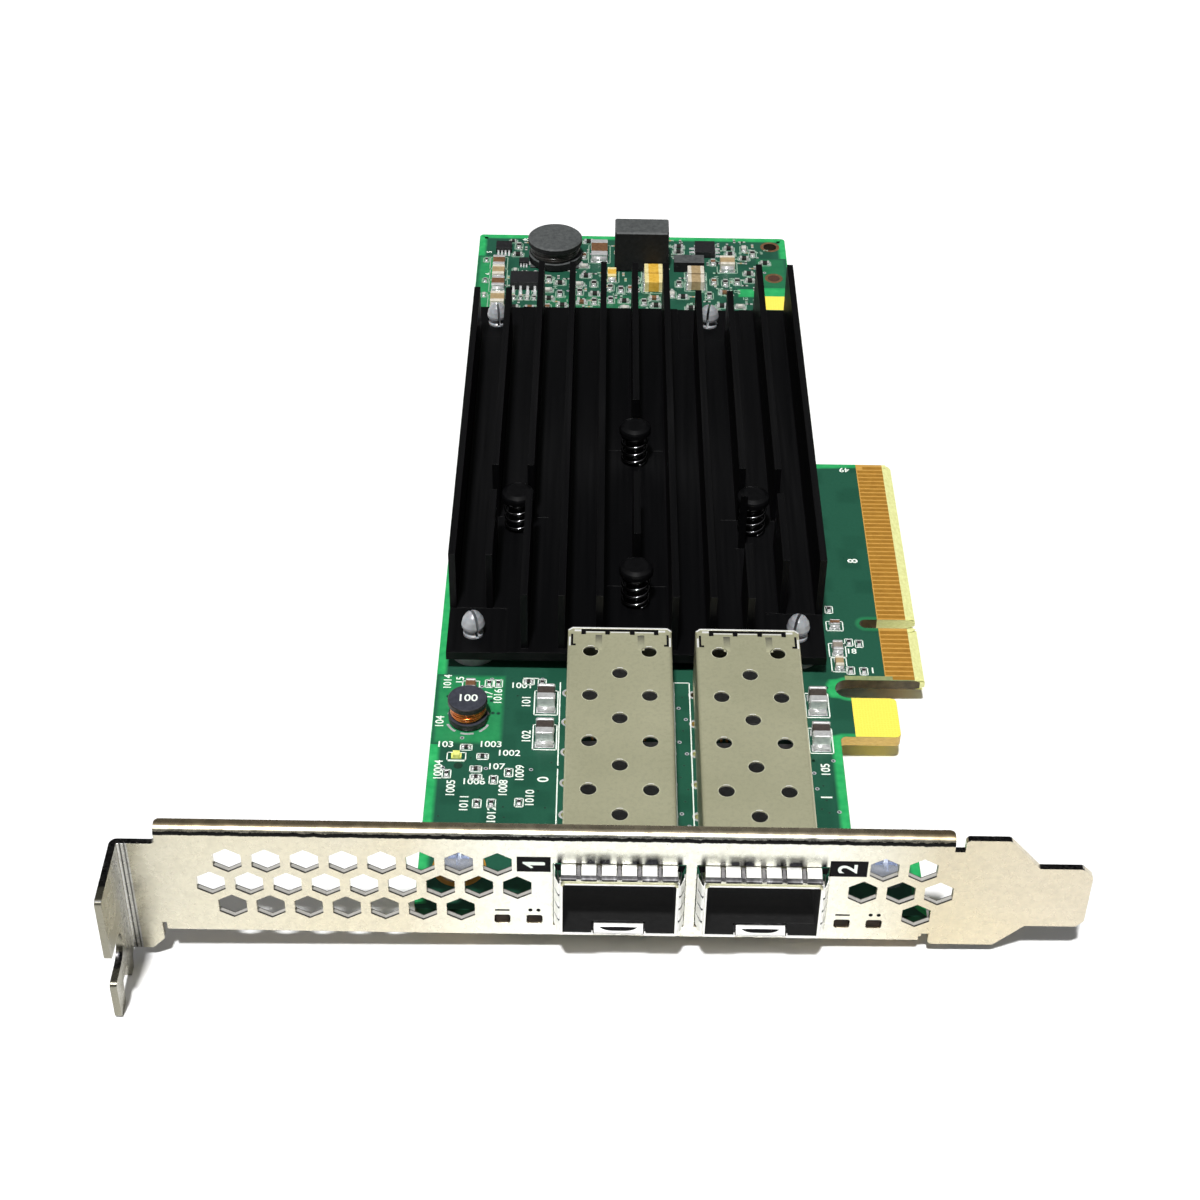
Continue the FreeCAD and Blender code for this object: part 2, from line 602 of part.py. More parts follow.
    # surface-mount receptacle at the back of the cage, mouth forwards
    rc = new_body("receptacle_" + tag)
    s = sketch(rc, "YZ_Plane", pc - 5.85)
    ring(s, [(32.6, 0.12), (32.6, 5.35), (33.3, 5.75), (40.6, 5.75), (42.0, 4.6), (42.0, 0.12)])
    pad(rc, s, 11.7)
    s = sketch(rc, "XZ_Plane", -40.0)
    rect(s, pc - 4.7, 2.55, pc + 4.7, 3.75)
    pocket(rc, s, 9.0, reverse=True)
    s = sketch(rc, "XZ_Plane", -33.4)
    rect(s, pc - 3.0, 4.6, pc + 3.0, 6.2)
    pocket(rc, s, 3.0, reverse=True)
    legs = []
    for i in range(10):
        lx = cx - 3.6 + 0.8 * i
        for ya, yb in ((42.0, 43.2), (31.4, 32.6)):
            legs.append(box(lx - 0.16, lx + 0.16, ya, yb, 0.02, 0.16))
            if ya > 40:
                legs[-1] = legs[-1].fuse(box(lx - 0.16, lx + 0.16, 42.0, 42.16, 0.02, 1.1))
            else:
                legs[-1] = legs[-1].fuse(box(lx - 0.16, lx + 0.16, 32.44, 32.6, 0.02, 1.1))
    feature("receptacle_legs_" + tag, Part.makeCompound(legs))

# ---------------------------------------------------------------- indicator lamps
lamps = []
for x in (11.17, 15.17, 53.50, 57.50):
    lamps.append(box(x - 1.0, x + 1.0, 0.35, 2.35, 0.0, 0.70).fuse(box(x - 0.8, x + 0.8, 0.05, 1.4, 0.0, 0.62)))
feature("indicator_lamps", Part.makeCompound(lamps))

# ---------------------------------------------------------------- board screws
screws = []
for x, y in SCREWS:
    head = lathe([(0.001, 0.0), (2.75, 0.0), (2.75, 0.75), (2.45, 1.30), (1.9, 1.62), (1.0, 1.82), (0.001, 1.88)], x, y)
    cross = box(x - 1.35, x + 1.35, y - 0.28, y + 0.28, 0.85, 2.5).fuse(box(x - 0.28, x + 0.28, y - 1.35, y + 1.35, 0.85, 2.5))
    shank = Part.makeCylinder(1.24, 3.6, V(x, y, -3.2))
    screws.append(head.cut(cross).fuse(shank))
feature("board_screws", Part.makeCompound(screws))

# ---------------------------------------------------------------- heatsink
hs = new_body("heatsink")
s = sketch(hs, "XY_Plane", c("sink_low"))
rect(s, c("sink_left"), c("sink_near"), c("sink_right"), c("sink_far"))
pad(hs, s, c("sink_top") - c("sink_low"))
s = sketch(hs, "XY_Plane", c("sink_top") - 0.2)
rect(s, c("sink_left"), c("fin_near"), c("sink_left") + c("fin_thick"), c("fin_far"))
fin = pad(hs, s, c("fin_top") - c("sink_top") + 0.2)
pat = hs.newObject("PartDesign::LinearPattern", "FinPattern")
pat.Originals = [fin]
pat.Direction = (s, ["H_Axis"])
pat.Occurrences = 11
pat.Length = D["fin_pitch"] * 10
pat.setExpression("Length", "Dimensions.fin_pitch * 10")
hs.Tip = pat
doc.recompute()
if len([1 for e in hs.Tip.Shape.Faces if abs(e.CenterOfMass.z - D["fin_top"]) < 1e-3]) != 11:
    raise RuntimeError("fin pattern")
# corners milled clear for the snap standoffs
s = sketch(hs, "XY_Plane", c("fin_top") + 1.0)
rect(s, c("sink_left") - 1, c("sink_near") - 1, 9.6, 55.15)
rect(s, 46.6, c("sink_near") - 1, c("sink_right") + 1, 54.90)
rect(s, c("sink_left") - 1, 127.2, 9.0, c("sink_far") + 1)
rect(s, 35.6, 127.2, 46.2, c("sink_far") + 1)
pocket(hs, s, c("fin_top") + 1.0 - c("sink_top") + 0.15)
# cross slots through the fins beside each push pin
s = sketch(hs, "XY_Plane", c("fin_top") + 1.0)
for k, (x, y) in enumerate(PINS):
    near, far = ((16.4, 2.6), (12.0, 3.6), (3.80, 2.35), (3.80, 2.35))[k]
    rect(s, x - 4.5, y - near, x + 4.5, y + far)
rect(s, 42.9, 58.6, 44.7, 69.9)
pocket(hs, s, c("fin_top") + 1.0 - c("sink_top") + 0.05)
s = sketch(hs, "XY_Plane", c("fin_top") + 1.0)
for x, y in PINS:
    disc(s, x, y, 3.1)
for x, y in SNAPS:
    disc(s, x, y, 3.1)
pocket(hs, s, 20.0)

# ---------------------------------------------------------------- controller chip
ch = new_body("controller_chip")
s = sketch(ch, "XY_Plane", 0.45)
rect(s, c("pin_x") - 11.0, c("pin_y") - 11.0, c("pin_x") + 11.0, c("pin_y") + 11.0)
pad(ch, s, 0.55)
s = sketch(ch, "XY_Plane", 0.95)
rect(s, c("pin_x") - 9.5, c("pin_y") - 9.5, c("pin_x") + 9.5, c("pin_y") + 9.5)
pad(ch, s, 0.95)
balls = []
for i in range(11):
    for j in range(11):
        balls.append(Part.makeCylinder(0.35, 0.45, V(D["pin_x"] - 9.5 + 1.9 * i, D["pin_y"] - 9.5 + 1.9 * j, 0.0)))
feature("chip_solder_balls", Part.makeCompound(balls))
tp_ = doc.addObject("Part::Box", "P_thermal_pad")
tp_.Length, tp_.Width, tp_.Height = 18.0, 18.0, 0.20
tp_.setExpression("Height", "Dimensions.sink_low - 1.9")
keep(tp_, "thermal_pad")
tp_.setExpression("Placement.Base.x", "Dimensions.origin_dx + Dimensions.pin_x - 9")
tp_.setExpression("Placement.Base.y", "Dimensions.origin_dy + Dimensions.pin_y - 9")
tp_.setExpression("Placement.Base.z", "Dimensions.origin_dz + 1.9")

# ---------------------------------------------------------------- push pins and springs
pins, springs = [], []
zt = D["sink_top"]
bot = -D["board_thick"]
for x, y in PINS:
    x, y = x.v, y.v
    p = lathe([(0.001, 10.35), (1.7, 10.35), (2.3, 10.05), (2.45, 9.7), (2.45, 9.10), (1.45, 9.10), (1.45, bot - 0.12),
               (1.75, bot - 0.35), (1.35, bot - 1.2), (0.7, bot - 2.0), (0.001, bot - 2.0)], x, y)
    p = p.cut(box(x - 0.25, x + 0.25, y - 3, y + 3, bot - 3, 1.2))
    pins.append(p)
    # compression spring between the head and the base, wound in short straight lengths
    turns, r, wire, za, zb, per = 4.0, 1.92, 0.42, zt + 0.24, 9.10 - 0.24, 12
    n = int(turns * per)
    way = [V(x + r * math.cos(2 * math.pi * i / per), y + r * math.sin(2 * math.pi * i / per), za + (zb - za) * i / n) for i in range(n + 1)]
    start = way[1] - way[0]
    prof = Part.Wire(Part.makeCircle(wire / 2, way[0], start))
    coil = Part.Wire([Part.makeLine(way[i], way[i + 1]) for i in range(n)]).makePipeShell([prof], True, False, 1)
    if not coil.isValid() or coil.Volume <= 0:
        raise RuntimeError("pin spring")
    springs.append(coil)
feature("push_pins", Part.makeCompound(pins))
feature("pin_springs", Part.makeCompound(springs))

# ---------------------------------------------------------------- snap standoffs
snaps = []
for k, (x, y) in enumerate(SNAPS):
    lo = D["sink_low"]
    p = lathe([(0.001, bot - 2.6), (0.9, bot - 2.6), (1.75, bot - 0.7), (1.45, bot - 0.12), (1.45, 0.0), (3.35, 0.0),
               (3.35, lo), (1.45, lo), (1.45, zt + 0.06), (1.18, zt + 0.30), (1.18, zt + 0.85), (1.60, zt + 1.12),
               (1.66, zt + 1.55), (1.46, zt + 2.40), (1.05, zt + 3.10), (0.52, zt + 3.52), (0.001, zt + 3.62)], x, y)
    slot = box(-0.20, 0.20, -4, 4, zt - 0.2, zt + 6)
    slot.rotate(V(0, 0, 0), V(0, 0, 1), (27, -24, 14, -12)[k])
    slot.translate(V(x, y, 0))
    low = box(x - 0.2, x + 0.2, y - 4, y + 4, bot - 4, bot - 0.3)
    snaps.append(p.cut(slot).cut(low))
feature("snap_standoffs", Part.makeCompound(snaps))

# ---------------------------------------------------------------- inductors
x, y = 4.92, 35.25
core = lathe([(0.001, 0.25), (2.6, 0.25), (2.7, 0.40), (2.7, 1.20), (1.45, 1.20), (1.45, 3.10), (2.62, 3.10), (2.72, 3.22),
              (2.72, 3.88), (2.62, 4.0), (0.001, 4.0)], x, y)
feet = [box(x - 2.2, x - 1.0, y - 1.4, y + 1.4, 0.0, 0.25), box(x + 1.0, x + 2.2, y - 1.4, y + 1.4, 0.0, 0.25)]
for f_ in feet:
    core = core.fuse(f_)
feature("drum_inductor_core", core)
feature("drum_inductor_winding", lathe([(1.47, 1.22), (2.45, 1.22), (2.6, 1.5), (2.5, 1.8), (2.6, 2.15), (2.5, 2.5), (2.58, 2.8), (2.45, 3.08), (1.47, 3.08)], x, y))
x, y = 14.0, 159.1
core = lathe([(0.001, 0.2), (4.6, 0.2), (4.75, 0.35), (4.75, 1.5), (2.6, 1.5), (2.6, 3.5), (4.7, 3.5), (4.85, 3.65),
              (4.85, 4.45), (4.55, 4.70), (0.001, 4.70)], x, y)
for f_ in (box(x - 4.4, x - 2.0, y - 3.2, y + 3.2, 0.0, 0.2), box(x + 2.0, x + 4.4, y - 3.2, y + 3.2, 0.0, 0.2)):
    core = core.fuse(f_)
feature("large_inductor_core", core)
feature("large_inductor_winding", lathe([(2.62, 1.52), (4.35, 1.52), (4.5, 1.8), (4.4, 2.1), (4.5, 2.5), (4.4, 2.9), (4.5, 3.2), (4.35, 3.48), (2.62, 3.48)], x, y))

# moulded power choke near the far edge
pb = new_body("power_choke")
s = sketch(pb, "XY_Plane", 0.1)
rect(s, 24.75, 155.0, 34.35, 160.3)
pad(pb, s, 7.9)
fillet(pb, lambda e: True, 0.25, "PartDesign::Chamfer")

# ferrite beads: block body between two plated ends
FERRITES = ((15.55, 38.9), (15.55, 31.9), (53.25, 39.2), (53.25, 32.0))
fb = []
for x, y in FERRITES:
    b_ = box(x - 1.2, x + 1.2, y - 1.10, y + 1.10, 0.05, 2.25)
    for ya, yb in ((y - 1.6, y - 1.10), (y + 1.10, y + 1.6)):
        b_ = b_.fuse(box(x - 1.25, x + 1.25, ya, yb, 0.0, 2.3))
    fb.append(b_.removeSplitter())
feature("ferrite_beads", Part.makeCompound(fb))


def gullwing(x, y, bw, bd, z0, z1, lead_n, pitch, lw, reach, axis):
    """Moulded package with leads along two sides; axis 'x' or 'y' is the lead direction."""
    body_ = box(x - bw / 2, x + bw / 2, y - bd / 2, y + bd / 2, z0, z1)
    leads = []
    for i in range(lead_n):
        o = (i - (lead_n - 1) / 2.0) * pitch
        for sg_ in (-1, 1):
            if axis == "y":
                ya = y + sg_ * bd / 2
                yb = ya + sg_ * reach
                lo_, hi_ = min(ya, yb), max(ya, yb)
                foot = box(x + o - lw / 2, x + o + lw / 2, lo_, hi_, 0.0, 0.15)
                neck = box(x + o - lw / 2, x + o + lw / 2, min(ya, ya + sg_ * 0.16), max(ya, ya + sg_ * 0.16), 0.0, z1 * 0.55)
            else:
                xa = x + sg_ * bw / 2
                xb = xa + sg_ * reach
                lo_, hi_ = min(xa, xb), max(xa, xb)
                foot = box(lo_, hi_, y + o - lw / 2, y + o + lw / 2, 0.0, 0.15)
                neck = box(min(xa, xa + sg_ * 0.16), max(xa, xa + sg_ * 0.16), y + o - lw / 2, y + o + lw / 2, 0.0, z1 * 0.55)
            leads.append(foot.fuse(neck))
    return body_, leads


# small moulded integrated circuits and their leads
PACK = ((8.75, 150.2, 5.0, 3.9, 0.12, 1.60, 4, 1.27, 0.42, 1.0, "y"),
        (4.60, 162.35, 2.8, 2.6, 0.10, 1.05, 4, 0.65, 0.30, 0.9, "y"),
        (41.2, 162.3, 3.6, 4.0, 0.12, 1.25, 3, 1.27, 0.42, 0.7, "x"),
        (8.40, 157.3, 1.7, 1.5, 0.08, 0.95, 3, 0.50, 0.25, 0.6, "y"))
bodies, leads = [], []
for pk in PACK:
    b_, l_ = gullwing(*pk)
    bodies.append(b_)
    leads += l_
feature("small_packages", Part.makeCompound(bodies))
feature("package_leads", Part.makeCompound(leads))

# shielded chip inductor beside the choke
feature("chip_inductor", box(35.45, 40.85, 155.25, 158.0, 0.0, 2.0))


def chip(x, y, lx, ly, hz, vertical, cap_frac=0.22):
    """Ceramic chip part: body with slightly larger plated ends, as one solid."""
    if vertical:
        ce = ly * cap_frac
        b_ = box(x - lx / 2 + 0.02, x + lx / 2 - 0.02, y - ly / 2 + ce, y + ly / 2 - ce, 0.02, hz - 0.02)
        e1 = box(x - lx / 2, x + lx / 2, y - ly / 2, y - ly / 2 + ce, 0.0, hz)
        e2 = box(x - lx / 2, x + lx / 2, y + ly / 2 - ce, y + ly / 2, 0.0, hz)
    else:
        ce = lx * cap_frac
        b_ = box(x - lx / 2 + ce, x + lx / 2 - ce, y - ly / 2 + 0.02, y + ly / 2 - 0.02, 0.02, hz - 0.02)
        e1 = box(x - lx / 2, x - lx / 2 + ce, y - ly / 2, y + ly / 2, 0.0, hz)
        e2 = box(x + lx / 2 - ce, x + lx / 2, y - ly / 2, y + ly / 2, 0.0, hz)
    return b_.fuse(e1).fuse(e2)


# large ceramic capacitors (x, y, size x, size y, height, ends along y)
BIG_CAPS = ((22.0, 161.1, 3.0, 5.4, 1.6, True), (31.7, 153.25, 3.3, 3.1, 2.0, False), (31.75, 149.9, 3.3, 3.1, 2.0, False),
            (39.3, 153.4, 3.0, 2.6, 1.8, False), (39.25, 150.4, 3.0, 2.6, 1.8, False), (45.1, 157.1, 2.7, 3.0, 1.7, True),
            (24.3, 153.2, 1.6, 3.0, 1.2, True), (3.89, 157.35, 2.2, 3.2, 0.9, True), (3.97, 153.5, 2.2, 3.2, 1.2, True),
            (4.05, 149.6, 2.3, 3.2, 1.2, True), (4.15, 144.3, 2.5, 3.4, 1.2, True), (56.98, 56.5, 1.5, 1.1, 1.0, True),
            (56.99, 51.1, 1.5, 2.0, 1.2, True), (57.0, 47.9, 1.25, 2.0, 1.0, True), (4.92, 41.75, 1.45, 2.0, 1.1, True))
feature("ceramic_capacitors", Part.makeCompound([chip(*k) for k in BIG_CAPS]))

# small chip resistors and capacitors, 0402 and 0603 sizes
V4, H4 = (0.55, 1.0, 0.38, True), (1.0, 0.55, 0.38, False)
V6, H6 = (0.85, 1.6, 0.50, True), (1.6, 0.85, 0.50, False)
SMALL = [((7.46, 42.73), V4), ((8.75, 42.76), V4), ((12.99, 43.21), H4), ((14.89, 43.03), V4), ((4.95, 29.64), H4),
         ((7.25, 27.87), H4), ((2.59, 24.42), V4), ((6.45, 25.43), H4), ((6.56, 23.82), H4), ((8.92, 23.38), V4),
         ((10.9, 24.81), V4), ((6.93, 18.87), V4), ((8.83, 18.91), V4), ((12.48, 19.14), V4), ((58.54, 46.72), V4),
         ((58.75, 52.85), V4), ((60.2, 52.6), V4), ((56.4, 60.2), V4), ((60.4, 46.6), V4),
         ((7.0, 145.6), V4), ((8.2, 145.6), V4), ((9.4, 145.6), V4), ((10.6, 145.6), V4), ((7.1, 142.3), H6), ((9.9, 142.2), H6),
         ((13.05, 152.0), V6), ((15.05, 150.7), H6), ((12.9, 148.2), H6), ((15.1, 147.0), V6), ((13.2, 145.4), H6), ((13.0, 142.4), V6),
         ((15.6, 143.2), H6), ((19.65, 153.3), H6), ((18.4, 150.4), H6), ((21.1, 150.6), V6), ((18.6, 147.8), V6), ((19.0, 144.3), H6),
         ((21.3, 147.2), H6), ((21.2, 144.6), V6), ((19.2, 156.6), H6), ((25.9, 148.7), V6), ((24.0, 149.4), V6), ((27.6, 149.0), V6),
         ((26.5, 144.9), H6), ((24.1, 145.2), V6), ((26.6, 142.6), H6), ((30.0, 144.6), V6), ((32.1, 143.6), H6), ((31.8, 146.0), H6),
         ((28.7, 152.0), V6), ((36.3, 151.0), V6), ((35.0, 147.4), V6), ((36.9, 146.6), H6), ((38.2, 142.9), H6), ((42.55, 151.9), V6),
         ((41.6, 147.2), V6), ((43.7, 143.8), H6), ((46.9, 143.6), H6), ((46.7, 152.0), V6), ((44.6, 151.6), V6), ((44.3, 148.2), H6),
         ((48.9, 154.9), H6), ((49.0, 152.4), H6), ((50.4, 147.2), V6), ((36.5, 164.0), H6), ((36.4, 162.2), H6), ((36.6, 160.2), V6),
         ((45.6, 163.6), H6), ((45.8, 161.6), H6), ((48.4, 163.6), V6), ((49.9, 161.9), V6), ((48.3, 160.2), H6), ((42.6, 158.6), V6),
         ((7.3, 163.4), V6), ((7.2, 160.4), H6), ((6.9, 154.9), V4), ((20.0, 165.4), H6), ((8.6, 154.2), H4), ((19.2, 160.2), V6),
         ((1.6, 158.4), V4), ((1.7, 151.3), V4), ((1.7, 146.4), V4), ((6.2, 165.2), H4), ((52.0, 158.6), H6), ((10.6, 154.0), V4)]
feature("chip_resistors", Part.makeCompound([chip(p_[0], p_[1], k[0], k[1], k[2], k[3]) for p_, k in SMALL]))

# status lamp near the plain edge
led = box(3.02, 4.42, 27.4, 28.3, 0.0, 0.25).fuse(box(3.25, 4.19, 27.4, 28.3, 0.2, 0.70))
feature("status_lamp", led)

doc.recompute()

# ---------------------------------------------------------------- checks and export
bad = []
for o in doc.Objects:
    if any(word in " ".join(o.State) for word in ("Invalid", "Error")):
        bad.append("%s (%s): %s" % (o.Name, o.Label, o.State))
for o in SUBPARTS:
    sh_ = o.Shape
    if sh_.isNull() or not sh_.isValid() or sh_.Volume <= 0 or not sh_.Solids:
        bad.append("shape of " + o.Label)
if bad:
    raise RuntimeError("; ".join(bad))
os.makedirs("parts", exist_ok=True)
total = None
for o in SUBPARTS:
    o.Shape.exportStep(os.path.join("parts", o.Label + ".step"))
    bb = o.Shape.BoundBox
    print("%-26s solids %3d  vol %9.2f  x %7.2f %7.2f  y %7.2f %7.2f  z %6.2f %6.2f" % (
        o.Label, len(o.Shape.Solids), o.Shape.Volume, bb.XMin, bb.XMax, bb.YMin, bb.YMax, bb.ZMin, bb.ZMax))
    if total is None:
        total = FreeCAD.BoundBox(bb)
    else:
        total.add(bb)
print("total x %.3f %.3f y %.3f %.3f z %.3f %.3f" % (total.XMin, total.XMax, total.YMin, total.YMax, total.ZMin, total.ZMax))
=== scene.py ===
import bpy
import math
import random
from mathutils import Matrix, Vector


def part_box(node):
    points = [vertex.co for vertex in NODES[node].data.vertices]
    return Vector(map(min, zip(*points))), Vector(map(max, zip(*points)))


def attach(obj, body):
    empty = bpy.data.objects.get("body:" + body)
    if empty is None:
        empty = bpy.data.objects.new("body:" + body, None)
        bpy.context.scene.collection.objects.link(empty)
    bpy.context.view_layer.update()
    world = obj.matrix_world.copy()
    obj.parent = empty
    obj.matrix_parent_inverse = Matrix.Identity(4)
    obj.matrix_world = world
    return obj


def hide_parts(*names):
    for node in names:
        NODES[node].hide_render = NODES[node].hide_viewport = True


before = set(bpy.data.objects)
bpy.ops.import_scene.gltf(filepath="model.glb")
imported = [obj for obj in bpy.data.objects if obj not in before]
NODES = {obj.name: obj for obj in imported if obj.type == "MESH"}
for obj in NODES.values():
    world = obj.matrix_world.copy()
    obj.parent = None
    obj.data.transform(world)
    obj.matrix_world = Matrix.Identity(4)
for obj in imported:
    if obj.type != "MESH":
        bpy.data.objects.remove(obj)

random.seed(7)
lo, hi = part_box("circuit_board")
OX, OY, OZ = lo.x, lo.y, hi.z            # board corner and component face, in metres
MM = 0.001
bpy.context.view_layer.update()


def W(x, y, z=0.0):
    """Card millimetres to the row frame in metres."""
    return Vector((OX + x * MM, OY + y * MM, OZ + z * MM))


def srgb(r, g, b):
    out = []
    for c in (r, g, b):
        c = c / 255.0
        out.append(c / 12.92 if c <= 0.04045 else ((c + 0.055) / 1.055) ** 2.4)
    return tuple(out)


# ------------------------------------------------------------------ materials
class Mat:
    """Small helper that builds one procedural node material."""

    def __init__(self, name, rough=0.5, metal=0.0, spec=0.5, coat=0.0, sheen=0.0, subsurface=0.0, aniso=0.0):
        self.m = bpy.data.materials.new(name)
        self.m.use_nodes = True
        self.nt = self.m.node_tree
        self.nt.nodes.clear()
        self.out = self.nt.nodes.new("ShaderNodeOutputMaterial")
        self.b = self.nt.nodes.new("ShaderNodeBsdfPrincipled")
        self.nt.links.new(self.b.outputs[0], self.out.inputs[0])
        self.b.inputs["Roughness"].default_value = rough
        self.b.inputs["Metallic"].default_value = metal
        self.b.inputs["Specular IOR Level"].default_value = spec
        self.b.inputs["Coat Weight"].default_value = coat
        self.b.inputs["Coat Roughness"].default_value = 0.12
        self.b.inputs["Subsurface Weight"].default_value = subsurface
        self.b.inputs["Subsurface Scale"].default_value = 0.001
        self.b.inputs["Anisotropic"].default_value = aniso
        self.co = self.nt.nodes.new("ShaderNodeTexCoord")
        self._map = {}
        self.normal = None

    def n(self, kind):
        return self.nt.nodes.new(kind)

    def link(self, a, b):
        self.nt.links.new(a, b)

    def coord(self, sx=1.0, sy=1.0, sz=1.0):
        key = (sx, sy, sz)
        if key == (1.0, 1.0, 1.0):
            return self.co.outputs["Object"]
        if key not in self._map:
            mp = self.n("ShaderNodeMapping")
            mp.inputs["Scale"].default_value = key
            self.link(self.co.outputs["Object"], mp.inputs["Vector"])
            self._map[key] = mp.outputs["Vector"]
        return self._map[key]

    def noise(self, scale, detail=3.0, rough=0.55, stretch=(1.0, 1.0, 1.0), distort=0.0):
        t = self.n("ShaderNodeTexNoise")
        t.inputs["Scale"].default_value = scale
        t.inputs["Detail"].default_value = detail
        t.inputs["Roughness"].default_value = rough
        t.inputs["Distortion"].default_value = distort
        self.link(self.coord(*stretch), t.inputs["Vector"])
        return t.outputs["Fac"]

    def voronoi(self, scale, feature="F1", distance="EUCLIDEAN", randomness=1.0, stretch=(1.0, 1.0, 1.0)):
        t = self.n("ShaderNodeTexVoronoi")
        t.feature = feature
        if feature != "DISTANCE_TO_EDGE":
            t.distance = distance
        t.inputs["Scale"].default_value = scale
        t.inputs["Randomness"].default_value = randomness
        self.link(self.coord(*stretch), t.inputs["Vector"])
        return t.outputs["Distance"]

    def ramp(self, fac, stops, mode="LINEAR"):
        r = self.n("ShaderNodeValToRGB")
        r.color_ramp.interpolation = mode
        e = r.color_ramp.elements
        while len(e) < len(stops):
            e.new(0.5)
        for i, (p, c) in enumerate(stops):
            e[i].position = p
            if isinstance(c, (int, float)):
                c = (c, c, c)
            e[i].color = (c[0], c[1], c[2], 1.0)
        self.link(fac, r.inputs["Fac"])
        return r.outputs["Color"]

    def math(self, op, a, b=0.0, clamp=False):
        t = self.n("ShaderNodeMath")
        t.operation = op
        t.use_clamp = clamp
        for k, v in ((0, a), (1, b)):
            if isinstance(v, (int, float)):
                t.inputs[k].default_value = v
            else:
                self.link(v, t.inputs[k])
        return t.outputs[0]

    def mix(self, fac, a, b, mode="MIX"):
        t = self.n("ShaderNodeMix")
        t.data_type = "RGBA"
        t.blend_type = mode
        for key, v in ((0, fac), (6, a), (7, b)):
            if isinstance(v, (int, float)):
                t.inputs[key].default_value = v
            elif isinstance(v, tuple):
                t.inputs[key].default_value = (v[0], v[1], v[2], 1.0)
            else:
                self.link(v, t.inputs[key])
        return t.outputs[2]

    def base(self, socket):
        if isinstance(socket, tuple):
            self.b.inputs["Base Color"].default_value = (socket[0], socket[1], socket[2], 1.0)
        else:
            self.link(socket, self.b.inputs["Base Color"])
        return self

    def roughness(self, socket):
        self.link(socket, self.b.inputs["Roughness"])
        return self

    def bump(self, height, strength=0.2, dist=0.0001):
        t = self.n("ShaderNodeBump")
        t.inputs["Strength"].default_value = strength
        t.inputs["Distance"].default_value = dist
        self.link(height, t.inputs["Height"])
        if self.normal is not None:
            self.link(self.normal, t.inputs["Normal"])
        self.normal = t.outputs["Normal"]
        self.link(self.normal, self.b.inputs["Normal"])
        return self

    def edges(self, radius):
        """Rounds the shading of sharp edges, as on real cut sheet and moulded corners."""
        t = self.n("ShaderNodeBevel")
        t.samples = 4
        t.inputs["Radius"].default_value = radius
        self.normal = t.outputs["Normal"]
        self.link(self.normal, self.b.inputs["Normal"])
        return self

    def axis(self, which):
        s = self.n("ShaderNodeSeparateXYZ")
        self.link(self.co.outputs["Object"], s.inputs[0])
        return s.outputs["XYZ".index(which)]

    def facing_up(self):
        g = self.n("ShaderNodeNewGeometry")
        s = self.n("ShaderNodeSeparateXYZ")
        self.link(g.outputs["Normal"], s.inputs[0])
        return self.math("ABSOLUTE", s.outputs["Z"])


DARK = srgb(24, 67, 51)
DARK2 = srgb(32, 79, 61)
LIGHT = srgb(34, 158, 88)


def mask_green(g):
    """Solder mask over copper: broad patches, fine traces."""
    patch = g.voronoi(230, distance="CHEBYCHEV", randomness=0.9)
    fine = g.voronoi(900, distance="MANHATTAN", randomness=0.35, stretch=(1.0, 0.35, 1.0))
    grain = g.noise(2600, 2.0)
    base = g.mix(g.ramp(patch, [(0.25, 0.0), (0.45, 1.0)]), DARK, DARK2)
    base = g.mix(g.ramp(fine, [(0.30, 0.0), (0.36, 0.35)]), base, srgb(40, 92, 72))
    base = g.mix(g.ramp(grain, [(0.35, 0.0), (0.75, 0.18)]), base, srgb(14, 62, 44))
    return base, fine, grain


g = Mat("solder_mask", rough=0.34, spec=0.25)
green, fine, grain = mask_green(g)
side = g.ramp(g.noise(1500, 2.0, stretch=(1.0, 1.0, 4.0)), [(0.3, srgb(210, 210, 142)), (0.7, srgb(226, 228, 162))])
green = g.mix(g.math("GREATER_THAN", g.axis("X"), OX + 67.35 * MM), green, side)
# painted shade on the cut walls: dark in the far holes, at the front edge behind the bracket and in the slot; the tab
# wall is a darker, shaded copy of the yellow laminate
wall = g.mix(g.math("MULTIPLY", g.math("GREATER_THAN", g.axis("Y"), OY + 150.0 * MM), g.math("LESS_THAN", g.axis("Y"), OY + 167.3 * MM)), side, srgb(52, 44, 34))
wall = g.mix(g.math("LESS_THAN", g.axis("Y"), OY + 0.5 * MM), wall, srgb(24, 60, 40))
slot_wall = g.math("MULTIPLY", g.math("GREATER_THAN", g.axis("Y"), OY + 40.4 * MM), g.math("LESS_THAN", g.axis("Y"), OY + 58.6 * MM))
slot_wall = g.math("MULTIPLY", slot_wall, g.math("LESS_THAN", g.axis("X"), OX + 68.2 * MM))
key_wall = g.math("MULTIPLY", g.math("GREATER_THAN", g.axis("X"), OX + 63.3 * MM), g.math("GREATER_THAN", g.axis("Y"), OY + 50.0 * MM))
slot_wall = g.math("MULTIPLY", slot_wall, g.math("SUBTRACT", 1.0, key_wall))
wall = g.mix(slot_wall, wall, g.ramp(g.noise(900, 3.0), [(0.3, srgb(62, 54, 38)), (0.7, srgb(88, 78, 54))]))
tab_wall = g.math("MULTIPLY", g.math("GREATER_THAN", g.axis("Y"), OY + 32.0 * MM), g.math("LESS_THAN", g.axis("Y"), OY + 40.4 * MM))
wall = g.mix(tab_wall, wall, g.ramp(g.noise(1300, 2.0, stretch=(1.0, 1.0, 4.0)), [(0.3, srgb(186, 152, 80)), (0.7, srgb(216, 184, 108))]))
